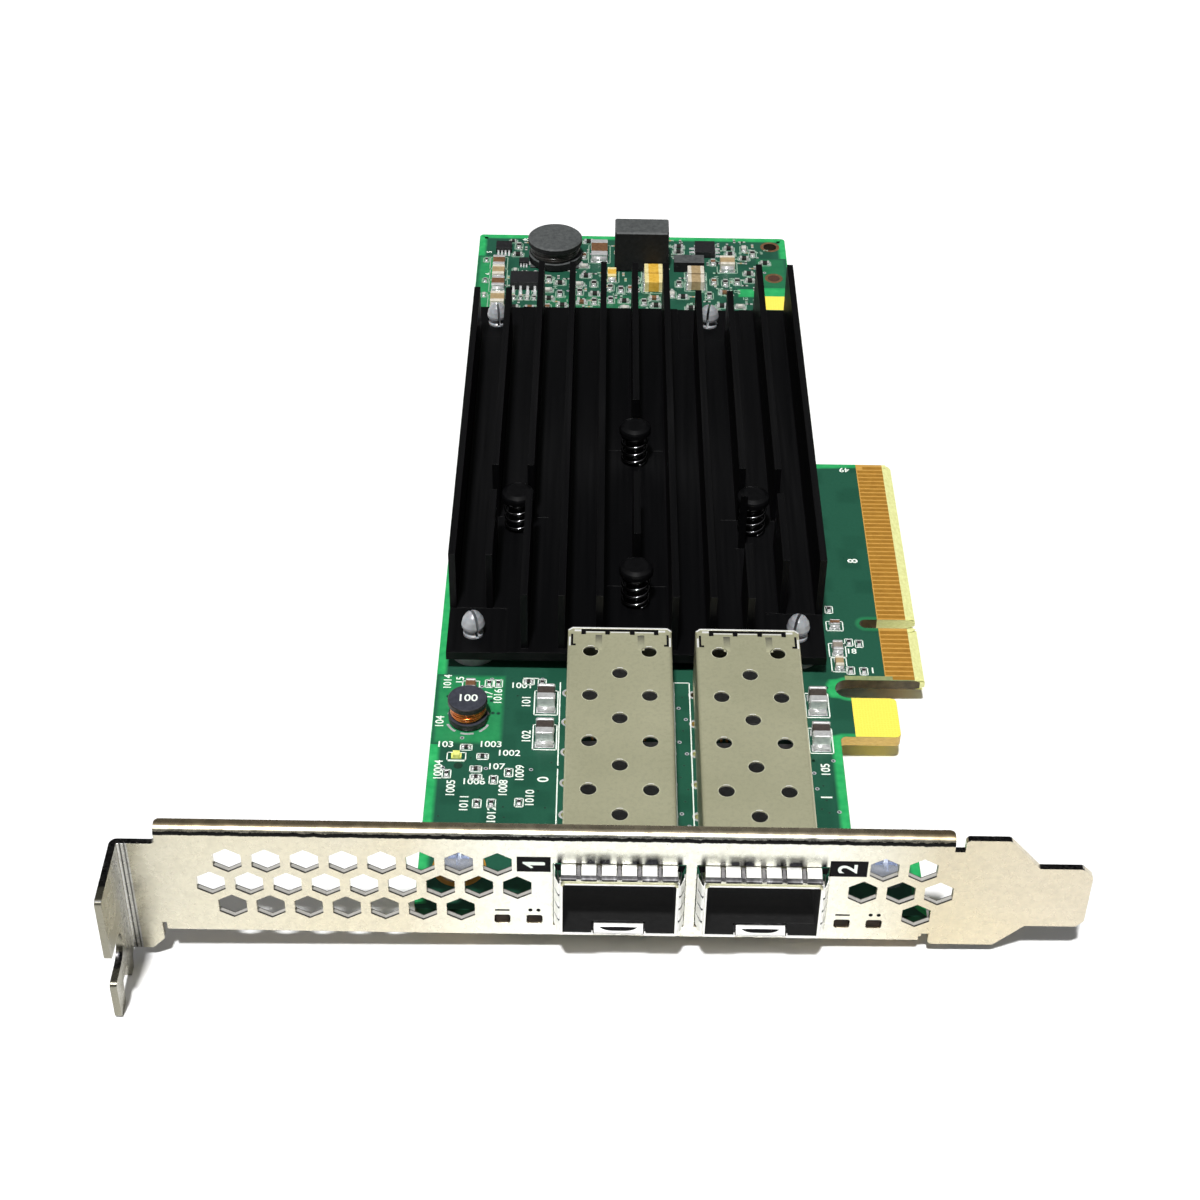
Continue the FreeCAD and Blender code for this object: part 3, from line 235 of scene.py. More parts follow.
# painted shade: the darkened cut walls are used on the connector side and the front only
zone = g.math("MAXIMUM", g.math("GREATER_THAN", g.axis("X"), OX + 30.0 * MM), g.math("LESS_THAN", g.axis("Y"), OY + 0.5 * MM))
wall = g.mix(zone, side, wall)
g.base(g.mix(g.math("GREATER_THAN", g.facing_up(), 0.6), wall, green))
g.roughness(g.ramp(grain, [(0.2, 0.28), (0.8, 0.44)]))
g.bump(fine, 0.12, 0.00004)
M_PCB = g.m

g = Mat("mask_edge_glow", rough=0.36, spec=0.35)
green, fine, grain = mask_green(g)
at = g.n("ShaderNodeAttribute")
at.attribute_name = "glow"
glow = g.math("MULTIPLY", at.outputs["Fac"], g.ramp(g.noise(420, 3.0), [(0.25, 0.80), (0.7, 1.0)]))
rim = g.mix(glow, green, g.ramp(g.noise(700, 2.0), [(0.3, LIGHT), (0.75, srgb(58, 184, 106))]))
# beyond the contact row the laminate is bare
g.base(g.mix(g.math("GREATER_THAN", g.axis("X"), OX + 67.3 * MM), rim, g.ramp(grain, [(0.3, srgb(214, 213, 140)), (0.7, srgb(228, 230, 160))])))
g.bump(grain, 0.06, 0.00003)
M_GLOW = g.m

g = Mat("bare_laminate", rough=0.42, spec=0.4)
weave = g.voronoi(2400, distance="CHEBYCHEV", randomness=0.25)
g.base(g.mix(g.ramp(weave, [(0.2, 0.0), (0.5, 1.0)]), srgb(249, 222, 84), srgb(252, 230, 98)))
g.bump(weave, 0.05, 0.00002)
M_FR4 = g.m

g = Mat("pale_laminate", rough=0.40, spec=0.4)
weave = g.voronoi(2100, distance="CHEBYCHEV", randomness=0.3)
g.base(g.mix(g.ramp(weave, [(0.2, 0.0), (0.5, 1.0)]), srgb(218, 216, 136), srgb(230, 232, 150)))
g.bump(weave, 0.05, 0.00002)
M_FR4P = g.m

g = Mat("gold_plate", rough=0.40, metal=0.35, spec=0.5)
g.edges(0.00003)
g.base(g.ramp(g.noise(900, 3.0), [(0.25, srgb(172, 122, 44)), (0.75, srgb(192, 140, 54))]))
g.roughness(g.ramp(g.noise(2500, 2.0), [(0.2, 0.28), (0.8, 0.5)]))
g.bump(g.noise(3500, 2.0), 0.1, 0.00002)
M_GOLD = g.m

def between(sock, a, b):
    return g.math("MULTIPLY", g.math("GREATER_THAN", sock, a), g.math("LESS_THAN", sock, b))


g = Mat("bracket_steel", rough=0.27, metal=1.0, spec=0.5, aniso=0.2)
g.edges(0.00010)
cloud = g.noise(38, 4.0, 0.6, distort=0.6)
px, py, pz, up = g.axis("X"), g.axis("Y"), g.axis("Z"), g.facing_up()
# painted reflection and shade along the length: darkest on the mounting tab, palest between the ports, darker again
# towards the far end
along = g.math("DIVIDE", g.math("SUBTRACT", px, OX - 37.0 * MM), 121.0 * MM)
tone = g.ramp(along, [(0.0, (0.21, 0.205, 0.172)), (0.0125, (0.23, 0.225, 0.19)), (0.020, (0.50, 0.48, 0.41)), (0.06, (0.57, 0.54, 0.45)), (0.10, (0.60, 0.565, 0.46)), (0.30, (0.63, 0.58, 0.46)),
                      (0.42, (0.84, 0.85, 0.77)), (0.72, (0.84, 0.84, 0.75)), (0.84, (0.55, 0.49, 0.37)), (1.0, (0.60, 0.54, 0.44))])
tint = g.mix(0.55, tone, g.ramp(cloud, [(0.25, (0.66, 0.67, 0.66)), (0.45, (0.80, 0.77, 0.66)), (0.62, (0.78, 0.74, 0.60)), (0.8, (0.86, 0.82, 0.74))]), "SOFT_LIGHT")
specks = g.noise(1400, 3.0, 0.65)
tint = g.mix(g.ramp(specks, [(0.40, 0.0), (0.8, 0.30)]), tint, (0.36, 0.34, 0.28))
# painted highlight and painted shade: narrow light and dark lines across the fold between face and mounting tab
fold = g.ramp(g.math("DIVIDE", g.math("SUBTRACT", px, OX - 35.50 * MM), 1.25 * MM), [(0.0, 0.0), (0.06, 0.9), (0.20, 0.9), (0.27, 0.12), (0.36, 0.12), (0.42, 0.8), (0.62, 0.75), (0.70, 0.2), (0.78, 0.2), (0.86, 0.75), (1.0, 0.6)])
tint = g.mix(between(px, OX - 35.50 * MM, OX - 34.27 * MM), tint, fold)
# painted reflection on the folded rail: a brownish top, and a dark reflected line where the bend meets the face
rail = between(px, OX - 30.9 * MM, OX + 66.2 * MM)
tint = g.mix(g.math("MULTIPLY", g.math("GREATER_THAN", up, 0.75), rail), tint, g.mix(1.0, tint, (1.0, 0.87, 0.70), "MULTIPLY"))
wob = g.math("MULTIPLY", g.math("SUBTRACT", g.noise(900, 4.0, 0.7, stretch=(1.0, 0.2, 0.2)), 0.5), 0.45 * MM)
zl = g.math("DIVIDE", g.math("SUBTRACT", g.math("ADD", pz, wob), OZ + 13.86 * MM), 0.60 * MM)
painted_bend_line = g.math("MULTIPLY", g.math("MULTIPLY", g.ramp(zl, [(0.0, 0.0), (0.10, 1.0), (0.86, 1.0), (1.0, 0.0)]), rail), g.math("LESS_THAN", py, OY - 1.0 * MM))
tint = g.mix(painted_bend_line, tint, (0.012, 0.012, 0.012))
# painted shade: cut edges that face up beyond the rails are darkened
ends = g.math("MULTIPLY", g.math("GREATER_THAN", up, 0.75), g.math("SUBTRACT", 1.0, rail))
ends = g.math("MULTIPLY", ends, g.math("GREATER_THAN", py, OY - 8.6 * MM))
tint = g.mix(ends, tint, g.ramp(g.noise(2200, 3.0), [(0.35, (0.02, 0.02, 0.023)), (0.75, (0.14, 0.135, 0.13))]))
# painted reflection of the spring fingers: dark marks on the face above the two spring collars
dxp = g.math("SUBTRACT", px, g.math("ADD", OX + 25.63 * MM, g.math("MULTIPLY", g.math("GREATER_THAN", px, OX + 34.43 * MM), 17.6 * MM)))
painted_finger_reflection = g.ramp(g.math("DIVIDE", g.math("ADD", dxp, 8.8 * MM), 17.6 * MM), [(x_ / 17.6 + 0.5, v_) for x_, v_ in (
    (-7.75, 0.0), (-7.5, 0.75), (-7.1, 0.7), (-6.8, 0.10), (-5.2, 0.04), (-4.5, 0.05), (-3.9, 0.85), (-3.1, 0.85), (-2.75, 0.15), (-2.3, 0.9), (-1.3, 0.85), (-0.9, 0.05),
    (1.1, 0.04), (1.6, 0.75), (2.3, 0.75), (2.75, 0.10), (3.3, 0.95), (4.5, 0.95), (4.95, 0.04), (6.9, 0.05), (7.2, 0.75), (7.55, 0.8), (7.8, 0.0))])
painted_finger_reflection = g.math("MULTIPLY", painted_finger_reflection, g.ramp(g.math("DIVIDE", g.math("SUBTRACT", pz, OZ + 9.8 * MM), 2.35 * MM), [(0.0, 1.0), (0.25, 0.95), (0.7, 0.42), (1.0, 0.0)]))
painted_finger_reflection = g.math("MULTIPLY", painted_finger_reflection, g.ramp(g.noise(1100, 3.0, 0.6), [(0.30, 0.75), (0.6, 1.0)]))
painted_finger_reflection = g.math("MULTIPLY", painted_finger_reflection, g.math("MULTIPLY", g.math("LESS_THAN", py, OY - 1.0 * MM), g.math("LESS_THAN", g.math("ABSOLUTE", g.math("SUBTRACT", px, OX + 34.43 * MM)), 17.5 * MM)))
painted_finger_reflection = g.math("MULTIPLY", painted_finger_reflection, g.math("GREATER_THAN", pz, OZ + 9.6 * MM))
painted_finger_reflection = g.math("MINIMUM", 1.0, g.math("MULTIPLY", painted_finger_reflection, 1.5))
tint = g.mix(painted_finger_reflection, tint, (0.022, 0.022, 0.026))
# sloping walls of the hexagon vents: pale sheared metal, with a painted shade line at each of the two faces
wall = g.math("MULTIPLY", between(up, 0.80, 0.93), between(pz, OZ - 0.5 * MM, OZ + 12.4 * MM))
depth = g.ramp(g.math("DIVIDE", g.math("SUBTRACT", py, OY - 1.43 * MM), 0.86 * MM), [(0.0, 0.03), (0.24, 0.04), (0.34, 0.46), (0.80, 0.50), (0.92, 0.06), (1.0, 0.04)])
tint = g.mix(wall, tint, g.mix(1.0, depth, (1.0, 0.97, 0.90), "MULTIPLY"))
g.link(g.math("SUBTRACT", 1.0, g.math("MULTIPLY", wall, 0.9)), g.b.inputs["Metallic"])
g.base(tint)
g.roughness(g.ramp(g.noise(600, 3.0), [(0.25, 0.20), (0.8, 0.36)]))
g.bump(g.noise(900, 3.0, stretch=(0.25, 1.0, 1.0)), 0.05, 0.00002)
M_BRACKET = g.m

g = Mat("cage_nickel", rough=0.42, metal=0.45, spec=0.5)
g.edges(0.00005)
sp = g.noise(1800, 3.0, 0.7)
cl = g.noise(70, 3.0)
col = g.ramp(cl, [(0.3, (0.452, 0.446, 0.294)), (0.7, (0.525, 0.515, 0.347))])
skin = g.mix(g.ramp(sp, [(0.45, 0.0), (0.75, 0.45)]), col, (0.34, 0.33, 0.22))

# port interiors: painted shade, darkest near the mouth and lighter deeper in, with a faint painted glow from the
# emission
inside = g.math("MULTIPLY", between(g.axis("Y"), OY - 3.80 * MM, OY + 43.8 * MM), between(g.axis("Z"), OZ - 0.1 * MM, OZ + 8.93 * MM))
ports = g.math("ADD", between(g.axis("X"), OX + (25.63 - 7.02) * MM, OX + (25.63 + 7.02) * MM), between(g.axis("X"), OX + (43.23 - 7.02) * MM, OX + (43.23 + 7.02) * MM))
inside = g.math("MULTIPLY", inside, ports)
deep = g.ramp(g.math("DIVIDE", g.math("SUBTRACT", g.axis("Y"), OY - 4.0 * MM), 20.0 * MM), [(0.0, 0.012), (0.25, 0.014), (0.50, 0.20), (1.0, 0.42)])
g.base(g.mix(inside, skin, g.mix(g.ramp(sp, [(0.3, 0.0), (0.8, 0.4)]), deep, (0.02, 0.02, 0.02))))
g.roughness(g.ramp(sp, [(0.2, 0.34), (0.8, 0.52)]))
g.bump(sp, 0.06, 0.00003)
g.link(g.mix(inside, (0.0, 0.0, 0.0), g.ramp(sp, [(0.3, 0.0065), (0.8, 0.0095)])), g.b.inputs["Emission Color"])
g.b.inputs["Emission Strength"].default_value = 1.0
M_CAGE = g.m

g = Mat("bright_steel", rough=0.14, metal=1.0)
g.base(g.ramp(g.noise(500, 3.0), [(0.3, srgb(224, 224, 222)), (0.7, srgb(242, 241, 238))]))
g.roughness(g.ramp(g.noise(1600, 2.0), [(0.2, 0.08), (0.8, 0.22)]))
M_BRIGHT = g.m

g = Mat("spring_wire", rough=0.16, metal=1.0)
g.base(g.ramp(g.noise(900, 3.0), [(0.3, srgb(108, 108, 110)), (0.7, srgb(156, 156, 158))]))
M_SPRING = g.m

g = Mat("black_moulding", rough=0.46, spec=0.4)
g.edges(0.00006)
nz = g.noise(2600, 3.0)
g.base(g.ramp(nz, [(0.3, srgb(20, 20, 22)), (0.75, srgb(38, 38, 40))]))
g.bump(nz, 0.25, 0.00003)
M_MOULD = g.m

# the receptacle fronts are lightened and given a faint painted glow from the emission, standing in for light in the
# port
g = Mat("receptacle_plastic", rough=0.5, spec=0.3)
nz = g.noise(2600, 3.0)
g.base(g.mix(g.math("LESS_THAN", g.axis("Y"), OY + 41.0 * MM), g.ramp(nz, [(0.3, srgb(20, 20, 22)), (0.75, srgb(38, 38, 40))]), g.ramp(nz, [(0.3, (0.16, 0.15, 0.15)), (0.75, (0.26, 0.25, 0.24))])))
g.bump(nz, 0.2, 0.00003)
g.link(g.mix(g.math("LESS_THAN", g.axis("Y"), OY + 41.0 * MM), (0.0, 0.0, 0.0), g.ramp(nz, [(0.3, 0.012), (0.8, 0.026)])), g.b.inputs["Emission Color"])
g.b.inputs["Emission Strength"].default_value = 1.0
M_RECEPT = g.m

g = Mat("chromed_screw", rough=0.14, metal=0.75, spec=0.6)
g.base(g.ramp(g.noise(500, 3.0), [(0.3, (0.66, 0.74, 0.92)), (0.7, (0.90, 0.93, 1.0))]))
g.roughness(g.ramp(g.noise(1600, 2.0), [(0.2, 0.10), (0.8, 0.26)]))
M_CHROME = g.m

# painted shade: a very dark copy of the steel for shaded finger lips, the plate beneath the fingers and the back of
# the tongue
g = Mat("painted_shade_steel", rough=0.4, metal=0.5, spec=0.4)
nz = g.noise(900, 4.0, 0.7, stretch=(1.0, 0.4, 0.4))
g.base(g.ramp(nz, [(0.35, (0.012, 0.012, 0.014)), (0.55, (0.06, 0.058, 0.06)), (0.75, (0.30, 0.30, 0.31))]))
M_SHADE_STEEL = g.m

# painted highlight: a pale, less metallic copy of the steel for lit rims, edges, finger plates and the tongue top
g = Mat("painted_highlight_steel", rough=0.3, metal=0.30, spec=0.6)
nz = g.noise(1200, 3.0)
g.base(g.ramp(nz, [(0.3, (0.80, 0.80, 0.76)), (0.7, (0.92, 0.92, 0.90))]))
M_HIGHLIGHT_STEEL = g.m

g = Mat("lamp_plastic", rough=0.5, spec=0.12)
g.base(g.ramp(g.noise(900, 2.0), [(0.3, srgb(16, 12, 9)), (0.7, srgb(46, 34, 25))]))
M_LAMP = g.m

g = Mat("status_lamp_lens", rough=0.2, spec=0.5, coat=0.6)
g.base(g.ramp(g.noise(1500, 2.0), [(0.3, srgb(206, 210, 90)), (0.7, srgb(240, 244, 150))]))
M_LENS = g.m

g = Mat("black_anodised", rough=0.40, spec=0.16, aniso=0.35)
g.edges(0.00008)
ext = g.noise(2200, 3.0, 0.6, stretch=(1.0, 0.02, 1.0))
cl = g.noise(60, 3.0)
g.base(g.mix(g.ramp(ext, [(0.3, 0.0), (0.8, 0.5)]), srgb(4, 4, 5), g.ramp(cl, [(0.3, srgb(9, 9, 10)), (0.7, srgb(14, 14, 15))])))
g.roughness(g.ramp(ext, [(0.2, 0.36), (0.8, 0.56)]))
g.bump(ext, 0.10, 0.00003)
M_SINK = g.m

g = Mat("bright_solder", rough=0.24, metal=0.55, spec=0.6)
nz = g.noise(1500, 3.0)
g.base(g.ramp(nz, [(0.3, srgb(214, 214, 214)), (0.75, srgb(250, 250, 250))]))
g.bump(nz, 0.5, 0.00006)
M_SOLDER = g.m

g = Mat("thermal_pad", rough=0.8)
g.base(g.ramp(g.noise(800, 3.0), [(0.3, srgb(150, 150, 156)), (0.7, srgb(176, 176, 182))]))
g.bump(g.noise(1200, 3.0), 0.3, 0.00004)
M_PAD = g.m

g = Mat("black_nylon", rough=0.28, spec=0.22)
g.edges(0.00008)
nz = g.noise(1500, 3.0)
g.base(g.ramp(nz, [(0.3, srgb(6, 6, 7)), (0.75, srgb(13, 13, 14))]))
g.bump(nz, 0.12, 0.00004)
M_BLACKNY = g.m

g = Mat("pale_nylon", rough=0.34, spec=0.45, subsurface=0.12)
nz = g.noise(900, 3.0)
g.base(g.ramp(nz, [(0.3, srgb(134, 137, 141)), (0.75, srgb(160, 162, 165))]))
g.bump(nz, 0.1, 0.00005)
M_NYLON = g.m

# painted light: faces that look up are lighter than the sides
g = Mat("ferrite", rough=0.5, spec=0.45)
g.edges(0.00008)
nz = g.noise(1800, 3.0, 0.7)
g.base(g.mix(g.math("GREATER_THAN", g.facing_up(), 0.7), g.ramp(nz, [(0.3, srgb(20, 19, 20)), (0.75, srgb(36, 34, 35))]), g.ramp(nz, [(0.3, srgb(46, 48, 56)), (0.75, srgb(64, 66, 76))])))
g.roughness(g.ramp(nz, [(0.2, 0.38), (0.8, 0.6)]))
g.bump(nz, 0.2, 0.00004)
M_FERRITE = g.m

# painted light: faces that look up are lighter than the sides
g = Mat("dark_ferrite", rough=0.55, spec=0.22)
g.edges(0.0001)
nz = g.noise(1500, 3.0, 0.7)
g.base(g.mix(g.math("GREATER_THAN", g.facing_up(), 0.7), g.ramp(nz, [(0.3, srgb(16, 16, 17)), (0.75, srgb(30, 30, 31))]), g.ramp(nz, [(0.3, srgb(64, 66, 67)), (0.75, srgb(90, 93, 92))])))
g.bump(nz, 0.15, 0.00004)
M_DARKFER = g.m

g = Mat("enamelled_copper", rough=0.22, metal=0.9, coat=0.5)
nz = g.noise(700, 3.0)
g.base(g.ramp(nz, [(0.3, srgb(176, 84, 24)), (0.7, srgb(226, 132, 56))]))
M_COPPER = g.m

g = Mat("dark_wire", rough=0.3, metal=0.2, coat=0.3)
nz = g.noise(900, 3.0)
g.base(g.ramp(nz, [(0.3, srgb(24, 22, 21)), (0.7, srgb(44, 38, 34))]))
M_DARKWIRE = g.m


def ceramic(name, a, b, rough=0.42, spec=0.5):
    g = Mat(name, rough=rough, spec=spec)
    nz = g.noise(1700, 3.0, 0.65)
    g.base(g.ramp(nz, [(0.3, srgb(*a)), (0.75, srgb(*b))]))
    g.bump(nz, 0.15, 0.00003)
    return g.m


M_BROWN = ceramic("brown_ceramic", (92, 64, 44), (128, 92, 62))
M_YELLOW = ceramic("yellow_ceramic", (196, 150, 44), (226, 184, 78))
M_TAN = ceramic("tan_ceramic", (150, 128, 92), (178, 156, 118))
M_GREYCER = ceramic("grey_ceramic", (120, 112, 102), (150, 142, 130))
M_BEAD = ceramic("bead_ceramic", (54, 46, 44), (76, 68, 62), 0.5)
M_RESBODY = ceramic("resistor_body", (26, 24, 24), (48, 44, 42), 0.4)
M_WHITEC = ceramic("pale_ceramic", (178, 176, 168), (206, 204, 196))
M_INK = ceramic("white_ink", (224, 234, 222), (244, 250, 242), 0.6)
# black print, and also painted shade in gaps, slots and openings
M_BLACK_PRINT_AND_SHADE = ceramic("black_print_and_painted_shade", (5, 5, 6), (13, 11, 14), 0.7, 0.12)
M_OLIVE = ceramic("olive_rim", (122, 134, 92), (150, 158, 108), 0.5)
M_GAP = ceramic("gold_between", (188, 142, 64), (206, 158, 78), 0.45)
M_GAPEND = ceramic("gold_end", (196, 178, 108), (222, 206, 140), 0.45)
M_HOLE_SHADE = ceramic("hole_painted_shade", (58, 34, 26), (84, 52, 38), 0.6)
M_YTERM = ceramic("pale_yellow_end", (206, 192, 132), (232, 220, 168), 0.4)
M_BTERM = ceramic("pale_beige_end", (186, 180, 164), (220, 214, 200), 0.4)
# painted highlight round the cage vents
M_VENT_HIGHLIGHT = ceramic("vent_painted_highlight", (172, 172, 146), (190, 190, 164), 0.4)
M_INKDIM = ceramic("dim_ink", (126, 158, 136), (152, 180, 160), 0.6)
M_GREYEND = ceramic("grey_end", (138, 142, 136), (186, 190, 184), 0.4)
# painted shade: grey filler in the gaps between spring fingers
M_FINGER_GAP_SHADE = ceramic("finger_gap_painted_shade", (92, 90, 92), (124, 122, 124), 0.4)
M_VIA = ceramic("via_dark", (12, 40, 30), (20, 56, 42), 0.5)

g = Mat("paper_white_floor", rough=0.75, spec=0.15)
g.base(g.ramp(g.noise(4, 3.0), [(0.2, (0.90, 0.90, 0.90)), (0.8, (0.93, 0.93, 0.93))]))
M_FLOOR = g.m

CAD = {
    "circuit_board": M_PCB, "edge_contacts": M_GOLD, "bracket": M_BRACKET, "board_screws": M_CHROME,
    "port_cage_1": M_CAGE, "port_cage_2": M_CAGE, "cage_floor_1": M_CAGE, "cage_floor_2": M_CAGE,
    "spring_collar_1": M_BRIGHT, "spring_collar_2": M_BRIGHT, "receptacle_1": M_RECEPT, "receptacle_2": M_RECEPT,
    "receptacle_legs_1": M_GOLD, "receptacle_legs_2": M_GOLD, "indicator_lamps": M_LAMP, "heatsink": M_SINK,
    "controller_chip": M_MOULD, "chip_solder_balls": M_SOLDER, "thermal_pad": M_PAD, "push_pins": M_BLACKNY,
    "pin_springs": M_SPRING, "snap_standoffs": M_NYLON, "drum_inductor_core": M_FERRITE,
    "drum_inductor_winding": M_COPPER, "large_inductor_core": M_DARKFER, "large_inductor_winding": M_COPPER,
    "power_choke": M_DARKFER, "chip_inductor": M_DARKFER, "ferrite_beads": M_BEAD, "small_packages": M_MOULD,
    "package_leads": M_SOLDER, "ceramic_capacitors": M_TAN, "chip_resistors": M_RESBODY, "status_lamp": M_LENS,
}
for node, m in CAD.items():
    me = NODES[node].data
    me.materials.clear()
    me.materials.append(m)


# ------------------------------------------------------------------ mesh helper
class Mesh:
    def __init__(self):
        self.v, self.f, self.i, self.mats, self.smooth, self.glow = [], [], [], [], [], []

    def mat(self, m):
        if m not in self.mats:
            self.mats.append(m)
        return self.mats.index(m)

    def add(self, pts, faces, m, smooth=False, glow=None):
        k = len(self.v)
        self.v += [tuple(W(*p)) for p in pts]
        self.glow += list(glow) if glow is not None else [0.0] * len(pts)
        mi = self.mat(m)
        for f in faces:
            self.f.append(tuple(k + a for a in f))
            self.i.append(mi)
            self.smooth.append(smooth)

    def poly(self, pts, z, m, down=False):
        p = [(x, y, z) for x, y in pts]
        order = tuple(range(len(p)))
        self.add(p, [order[::-1] if down else order], m)

    def rect(self, x0, x1, y0, y1, z, m, down=False):
        self.poly([(x0, y0), (x1, y0), (x1, y1), (x0, y1)], z, m, down)

    def box(self, x0, x1, y0, y1, z0, z1, m, ch=0.0):
        """Box with its top and vertical edges chamfered by ch."""
        if ch <= 0:
            p = [(x0, y0, z0), (x1, y0, z0), (x1, y1, z0), (x0, y1, z0), (x0, y0, z1), (x1, y0, z1), (x1, y1, z1), (x0, y1, z1)]
            self.add(p, [(0, 3, 2, 1), (4, 5, 6, 7), (0, 1, 5, 4), (1, 2, 6, 5), (2, 3, 7, 6), (3, 0, 4, 7)], m)
            return

        def loop(ix, z):
            a = ix + ch
            return [(x0 + a, y0 + ix, z), (x1 - a, y0 + ix, z), (x1 - ix, y0 + a, z), (x1 - ix, y1 - a, z),
                    (x1 - a, y1 - ix, z), (x0 + a, y1 - ix, z), (x0 + ix, y1 - a, z), (x0 + ix, y0 + a, z)]
        p = loop(0.0, z0) + loop(0.0, z1 - ch) + loop(ch * 0.35, z1 - ch * 0.35) + loop(ch, z1)
        fs = [tuple(range(7, -1, -1)), tuple(range(24, 32))]
        for r in range(3):
            for i in range(8):
                j = (i + 1) % 8
                fs.append((r * 8 + i, r * 8 + j, (r + 1) * 8 + j, (r + 1) * 8 + i))
        self.add(p, fs, m)

    def wedge(self, x, y, dx, dy, half, z, m):
        """Solder fillet: rises from the board to height z at (x, y), spreading by (dx, dy)."""
        nx, ny = (0.0, 1.0) if abs(dx) > abs(dy) else (1.0, 0.0)
        pts = []
        for s in (-1, 1):
            bx, by = x + nx * half * s, y + ny * half * s
            pts += [(bx, by, 0.02), (bx, by, z), (bx + dx * 0.35, by + dy * 0.35, z * 0.42), (bx + dx, by + dy, 0.03)]
        self.add(pts, [(0, 1, 5, 4), (1, 2, 6, 5), (2, 3, 7, 6), (3, 0, 4, 7), (0, 3, 2, 1), (4, 5, 6, 7)], m, True)

    def disc(self, x, y, r0, r1, z, m, n=28, down=False):
        """Flat ring or disc."""
        if r0 <= 0:
            pts = [(x + r1 * math.cos(2 * math.pi * i / n), y + r1 * math.sin(2 * math.pi * i / n)) for i in range(n)]
            self.poly(pts, z, m, down)
            return
        p = []
        for r in (r0, r1):
            p += [(x + r * math.cos(2 * math.pi * i / n), y + r * math.sin(2 * math.pi * i / n), z) for i in range(n)]
        fs = []
        for i in range(n):
            j = (i + 1) % n
            q4 = (i, j, n + j, n + i)
            fs.append(q4 if down else q4[::-1])
        self.add(p, fs, m)

    def lathe(self, prof, x, y, m, n=40, smooth=True):
        p = []
        for r, z in prof:
            p += [(x + r * math.cos(2 * math.pi * i / n), y + r * math.sin(2 * math.pi * i / n), z) for i in range(n)]
        fs = []
        for k in range(len(prof) - 1):
            for i in range(n):
                j = (i + 1) % n
                fs.append((k * n + i, k * n + j, (k + 1) * n + j, (k + 1) * n + i))
        self.add(p, fs, m, smooth)

    def tube(self, pts, r, m, n=8, closed=False):
        """Round wire along a list of card points."""
        P = [Vector(q_) for q_ in pts]
        k = len(P)
        ring_pts = []
        for i in range(k):
            a = P[(i - 1) % k] if (closed or i > 0) else P[i]
            b = P[(i + 1) % k] if (closed or i < k - 1) else P[i]
            t = (b - a).normalized()
            u = t.cross(Vector((0, 0, 1)))
            if u.length < 1e-3:
                u = t.cross(Vector((1, 0, 0)))
            u.normalize()
            w_ = u.cross(t).normalized()
            ring_pts += [tuple(P[i] + u * (r * math.cos(2 * math.pi * j / n)) + w_ * (r * math.sin(2 * math.pi * j / n))) for j in range(n)]
        fs = []
        for i in range(k if closed else k - 1):
            for j in range(n):
                a, b = i * n + j, i * n + (j + 1) % n
                c, d = ((i + 1) % k) * n + (j + 1) % n, ((i + 1) % k) * n + j
                fs.append((a, d, c, b))
        if not closed:
            fs.append(tuple(range(n)))
            fs.append(tuple(range((k - 1) * n + n - 1, (k - 1) * n - 1, -1)))
        self.add(ring_pts, fs, m, True)

    def build(self, name):
        me = bpy.data.meshes.new(name)
        me.from_pydata(self.v, [], self.f)
        for m in self.mats:
            me.materials.append(m)
        me.polygons.foreach_set("material_index", self.i)
        me.polygons.foreach_set("use_smooth", self.smooth)
        if any(self.glow):
            a = me.attributes.new("glow", "FLOAT", "POINT")
            a.data.foreach_set("value", self.glow)
        me.update()
        o = bpy.data.objects.new(name, me)
        bpy.context.scene.collection.objects.link(o)
        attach(o, "root")
        return o


_glyph = {}


def glyph(text):
    """Flat outline triangles of a short generic number, height about 1."""
    if text not in _glyph:
        cu = bpy.data.curves.new("t", "FONT")
        cu.body = text
        cu.size = 1.4
        cu.align_x = "CENTER"
        cu.align_y = "CENTER"
        cu.offset = 0.022
        ob = bpy.data.objects.new("t", cu)
        bpy.context.scene.collection.objects.link(ob)
        dg = bpy.context.evaluated_depsgraph_get()
        me = bpy.data.meshes.new_from_object(ob.evaluated_get(dg))
        _glyph[text] = ([(v.co.x, v.co.y) for v in me.vertices], [tuple(p.vertices) for p in me.polygons])
        bpy.data.objects.remove(ob)
        bpy.data.curves.remove(cu)
        bpy.data.meshes.remove(me)
    return _glyph[text]


def write(mesh, text, x, y, z, size, angle, m, plane="top"):
    vs, fs = glyph(text)
    ca, sa = math.cos(math.radians(angle)), math.sin(math.radians(angle))
    pts = []
    for a, b in vs:
        u, v = (a * ca - b * sa) * size, (a * sa + b * ca) * size
        if plane == "top":
            pts.append((x + u, y + v, z))
        elif plane == "under":
            pts.append((x - u, y + v, z))
        else:                      # on a face looking towards -Y
            pts.append((x + u, y, z + v))
    mesh.add(pts, fs, m)


# ------------------------------------------------------------------ board outline
def arc(cx, cy, r, a0, a1, n=8):
    return [(cx + r * math.cos(math.radians(a0 + (a1 - a0) * i / n)), cy + r * math.sin(math.radians(a0 + (a1 - a0) * i / n))) for i in range(n + 1)]


